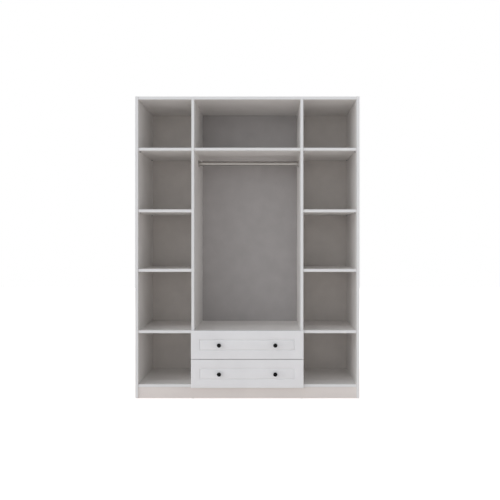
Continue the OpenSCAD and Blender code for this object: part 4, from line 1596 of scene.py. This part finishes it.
@dataclass(frozen=True)
class Studio:
    """The pale floor, the soft lights and the camera at the photograph's viewpoint."""

    # The photograph's frame and its vanishing point, in pixels of the frame
    frame_px: int = 500
    vanishing_px: tuple[float, float] = (267.9, 243.5)
    # Scale of the photograph at the plane of the uprights' front edges
    mm_per_px: float = 6.02
    centre_px: float = 247.35
    sensor: float = 36.0
    # The eye's distance from that plane and its height, in metres
    distance: float = 3.700
    eye_height: float = 0.9347
    # The dome: its even strength, then direction and strength of each brighter part
    even: float = 0.45
    glows: tuple = (((-1.0, -0.15, 0.0), 0.8), ((-0.7, -0.7, 0.0), 1.2), ((-0.7, -0.15, 0.7), 1.3),
                    ((1.0, -0.15, 0.0), 0.5), ((0.0, -1.0, 0.0), 0.2))
    tightness: float = 8.0
    sky: str = "#F7FBFF"
    # A weak lamp behind the wardrobe, so that its rear isn't dark, and the floor, in metres
    rear_place: tuple[float, float, float] = (1.5, 3.5, 3.0)
    rear_size: float = 2.0
    rear_watts: float = 60.0
    floor_half: float = 9.0

    def camera(self, front_y: float) -> None:
        """Makes the camera.

        Args:
            front_y: The plane of the uprights' front edges, in metres.
        """
        data = bpy.data.cameras.new("studio_camera")
        data.sensor_width = self.sensor
        frame_width = self.frame_px * self.mm_per_px * MM
        data.lens = self.sensor * self.distance / frame_width
        data.shift_x = (self.frame_px / 2 - self.vanishing_px[0]) / self.frame_px
        data.shift_y = (self.vanishing_px[1] - self.frame_px / 2) / self.frame_px
        camera = bpy.data.objects.new("studio_camera", data)
        bpy.context.scene.collection.objects.link(camera)
        off_centre = (self.vanishing_px[0] - self.centre_px) * self.mm_per_px * MM
        camera.location = (off_centre, front_y - self.distance, self.eye_height)
        camera.rotation_euler = (math.radians(90), 0, 0)
        bpy.context.scene.camera = camera

    def rear_lamp(self, target: Vector) -> None:
        """Adds the soft square lamp behind the wardrobe.

        Args:
            target: What it points at.
        """
        data = bpy.data.lights.new("rear_lamp", "AREA")
        data.shape = "SQUARE"
        data.size = self.rear_size
        data.energy = self.rear_watts
        lamp = bpy.data.objects.new("rear_lamp", data)
        bpy.context.scene.collection.objects.link(lamp)
        lamp.location = self.rear_place
        lamp.rotation_euler = (target - lamp.location).to_track_quat("-Z", "Y").to_euler()

    def world(self) -> None:
        """Lights everything from a soft dome, and shows white to the camera and in reflections."""
        world = bpy.data.worlds.new("studio_world")
        bpy.context.scene.world = world
        world.use_nodes = True
        tree = world.node_tree
        tree.nodes.clear()
        way = add_node(tree, "ShaderNodeTexCoord").outputs["Generated"]
        total = self.even
        for towards, strength in self.glows:
            unit = Vector(towards).normalized()
            dot = add_node(tree, "ShaderNodeVectorMath", {0: way, 1: unit}, operation="DOT_PRODUCT")
            ahead = add_node(tree, "ShaderNodeMath", {0: dot.outputs["Value"], 1: 0.0}, operation="MAXIMUM")
            lobe = add_node(tree, "ShaderNodeMath", {0: ahead, 1: self.tightness}, operation="POWER")
            total = add_node(tree, "ShaderNodeMath", {0: lobe, 1: strength, 2: total},
                             operation="MULTIPLY_ADD")
        path = add_node(tree, "ShaderNodeLightPath")
        seen = path.outputs["Is Camera Ray"]
        for other in ("Is Glossy Ray", "Is Transmission Ray"):
            seen = add_node(tree, "ShaderNodeMath", {0: seen, 1: path.outputs[other]}, operation="MAXIMUM")
        level = add_node(tree, "ShaderNodeMix", {"Factor": seen, 2: total, 3: 1.0}, data_type="FLOAT")
        hue = add_node(tree, "ShaderNodeMix", {"Factor": seen, 6: linear(self.sky), 7: WHITE},
                       data_type="RGBA")
        light = add_node(tree, "ShaderNodeBackground", {"Color": hue.outputs[2], "Strength": level})
        add_node(tree, "ShaderNodeOutputWorld", {"Surface": light})

    def floor(self) -> None:
        """Lays the pale floor, which shows white to the camera but for the wardrobe's shadow."""
        mesh = bpy.data.meshes.new("studio_floor")
        half = self.floor_half
        square = [(-half, -half, 0), (half, -half, 0), (half, half, 0), (-half, half, 0)]
        mesh.from_pydata(square, [], [(0, 1, 2, 3)])
        floor = bpy.data.objects.new("studio_floor", mesh)
        bpy.context.scene.collection.objects.link(floor)
        mesh.materials.append(FloorPaint().build())
        floor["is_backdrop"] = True

    def build(self, low: Vector, high: Vector, front_y: float) -> None:
        """Sets up the whole studio.

        Args:
            low: The wardrobe's lowest corner.
            high: The wardrobe's highest corner.
            front_y: The plane of the uprights' front edges.
        """
        bpy.context.scene.view_settings.view_transform = "Standard"
        self.camera(front_y)
        self.world()
        self.rear_lamp((low + high) / 2)
        self.floor()


def dress(frame: dict, finishes: Finishes) -> None:
    """Gives every CAD node the finish of its slot.

    Args:
        finishes: The wardrobe's materials.
    """
    slots = {part["node"]: part["material_slot"] for part in frame["record"]["subparts"]}
    for name, node in frame["nodes"].items():
        node.data.materials.clear()
        node.data.materials.append(finishes.of_node(name, slots[name]))
        log.info("dressed %s", name)


def main() -> None:
    """Builds the scene in order."""
    logging.basicConfig(level=logging.INFO, format="%(name)s: %(message)s")
    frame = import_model()
    cad_low, cad_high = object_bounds()
    finishes = Finishes()
    dress(frame, finishes)
    fastenings = Fastenings(frame, finishes)
    fastenings.carcass()
    cage_maker = BallCage()
    for level in Level:
        drawer = Drawer(frame, finishes, level)
        drawer.front()
        drawer.knobs()
        drawer.levers()
        drawer.cages(cage_maker)
        fastenings.drawer(level)
    fastenings.clear()
    front_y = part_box("side_left")[0].y
    Studio().build(cad_low, cad_high, front_y)


if __name__ == "__main__":
    main()
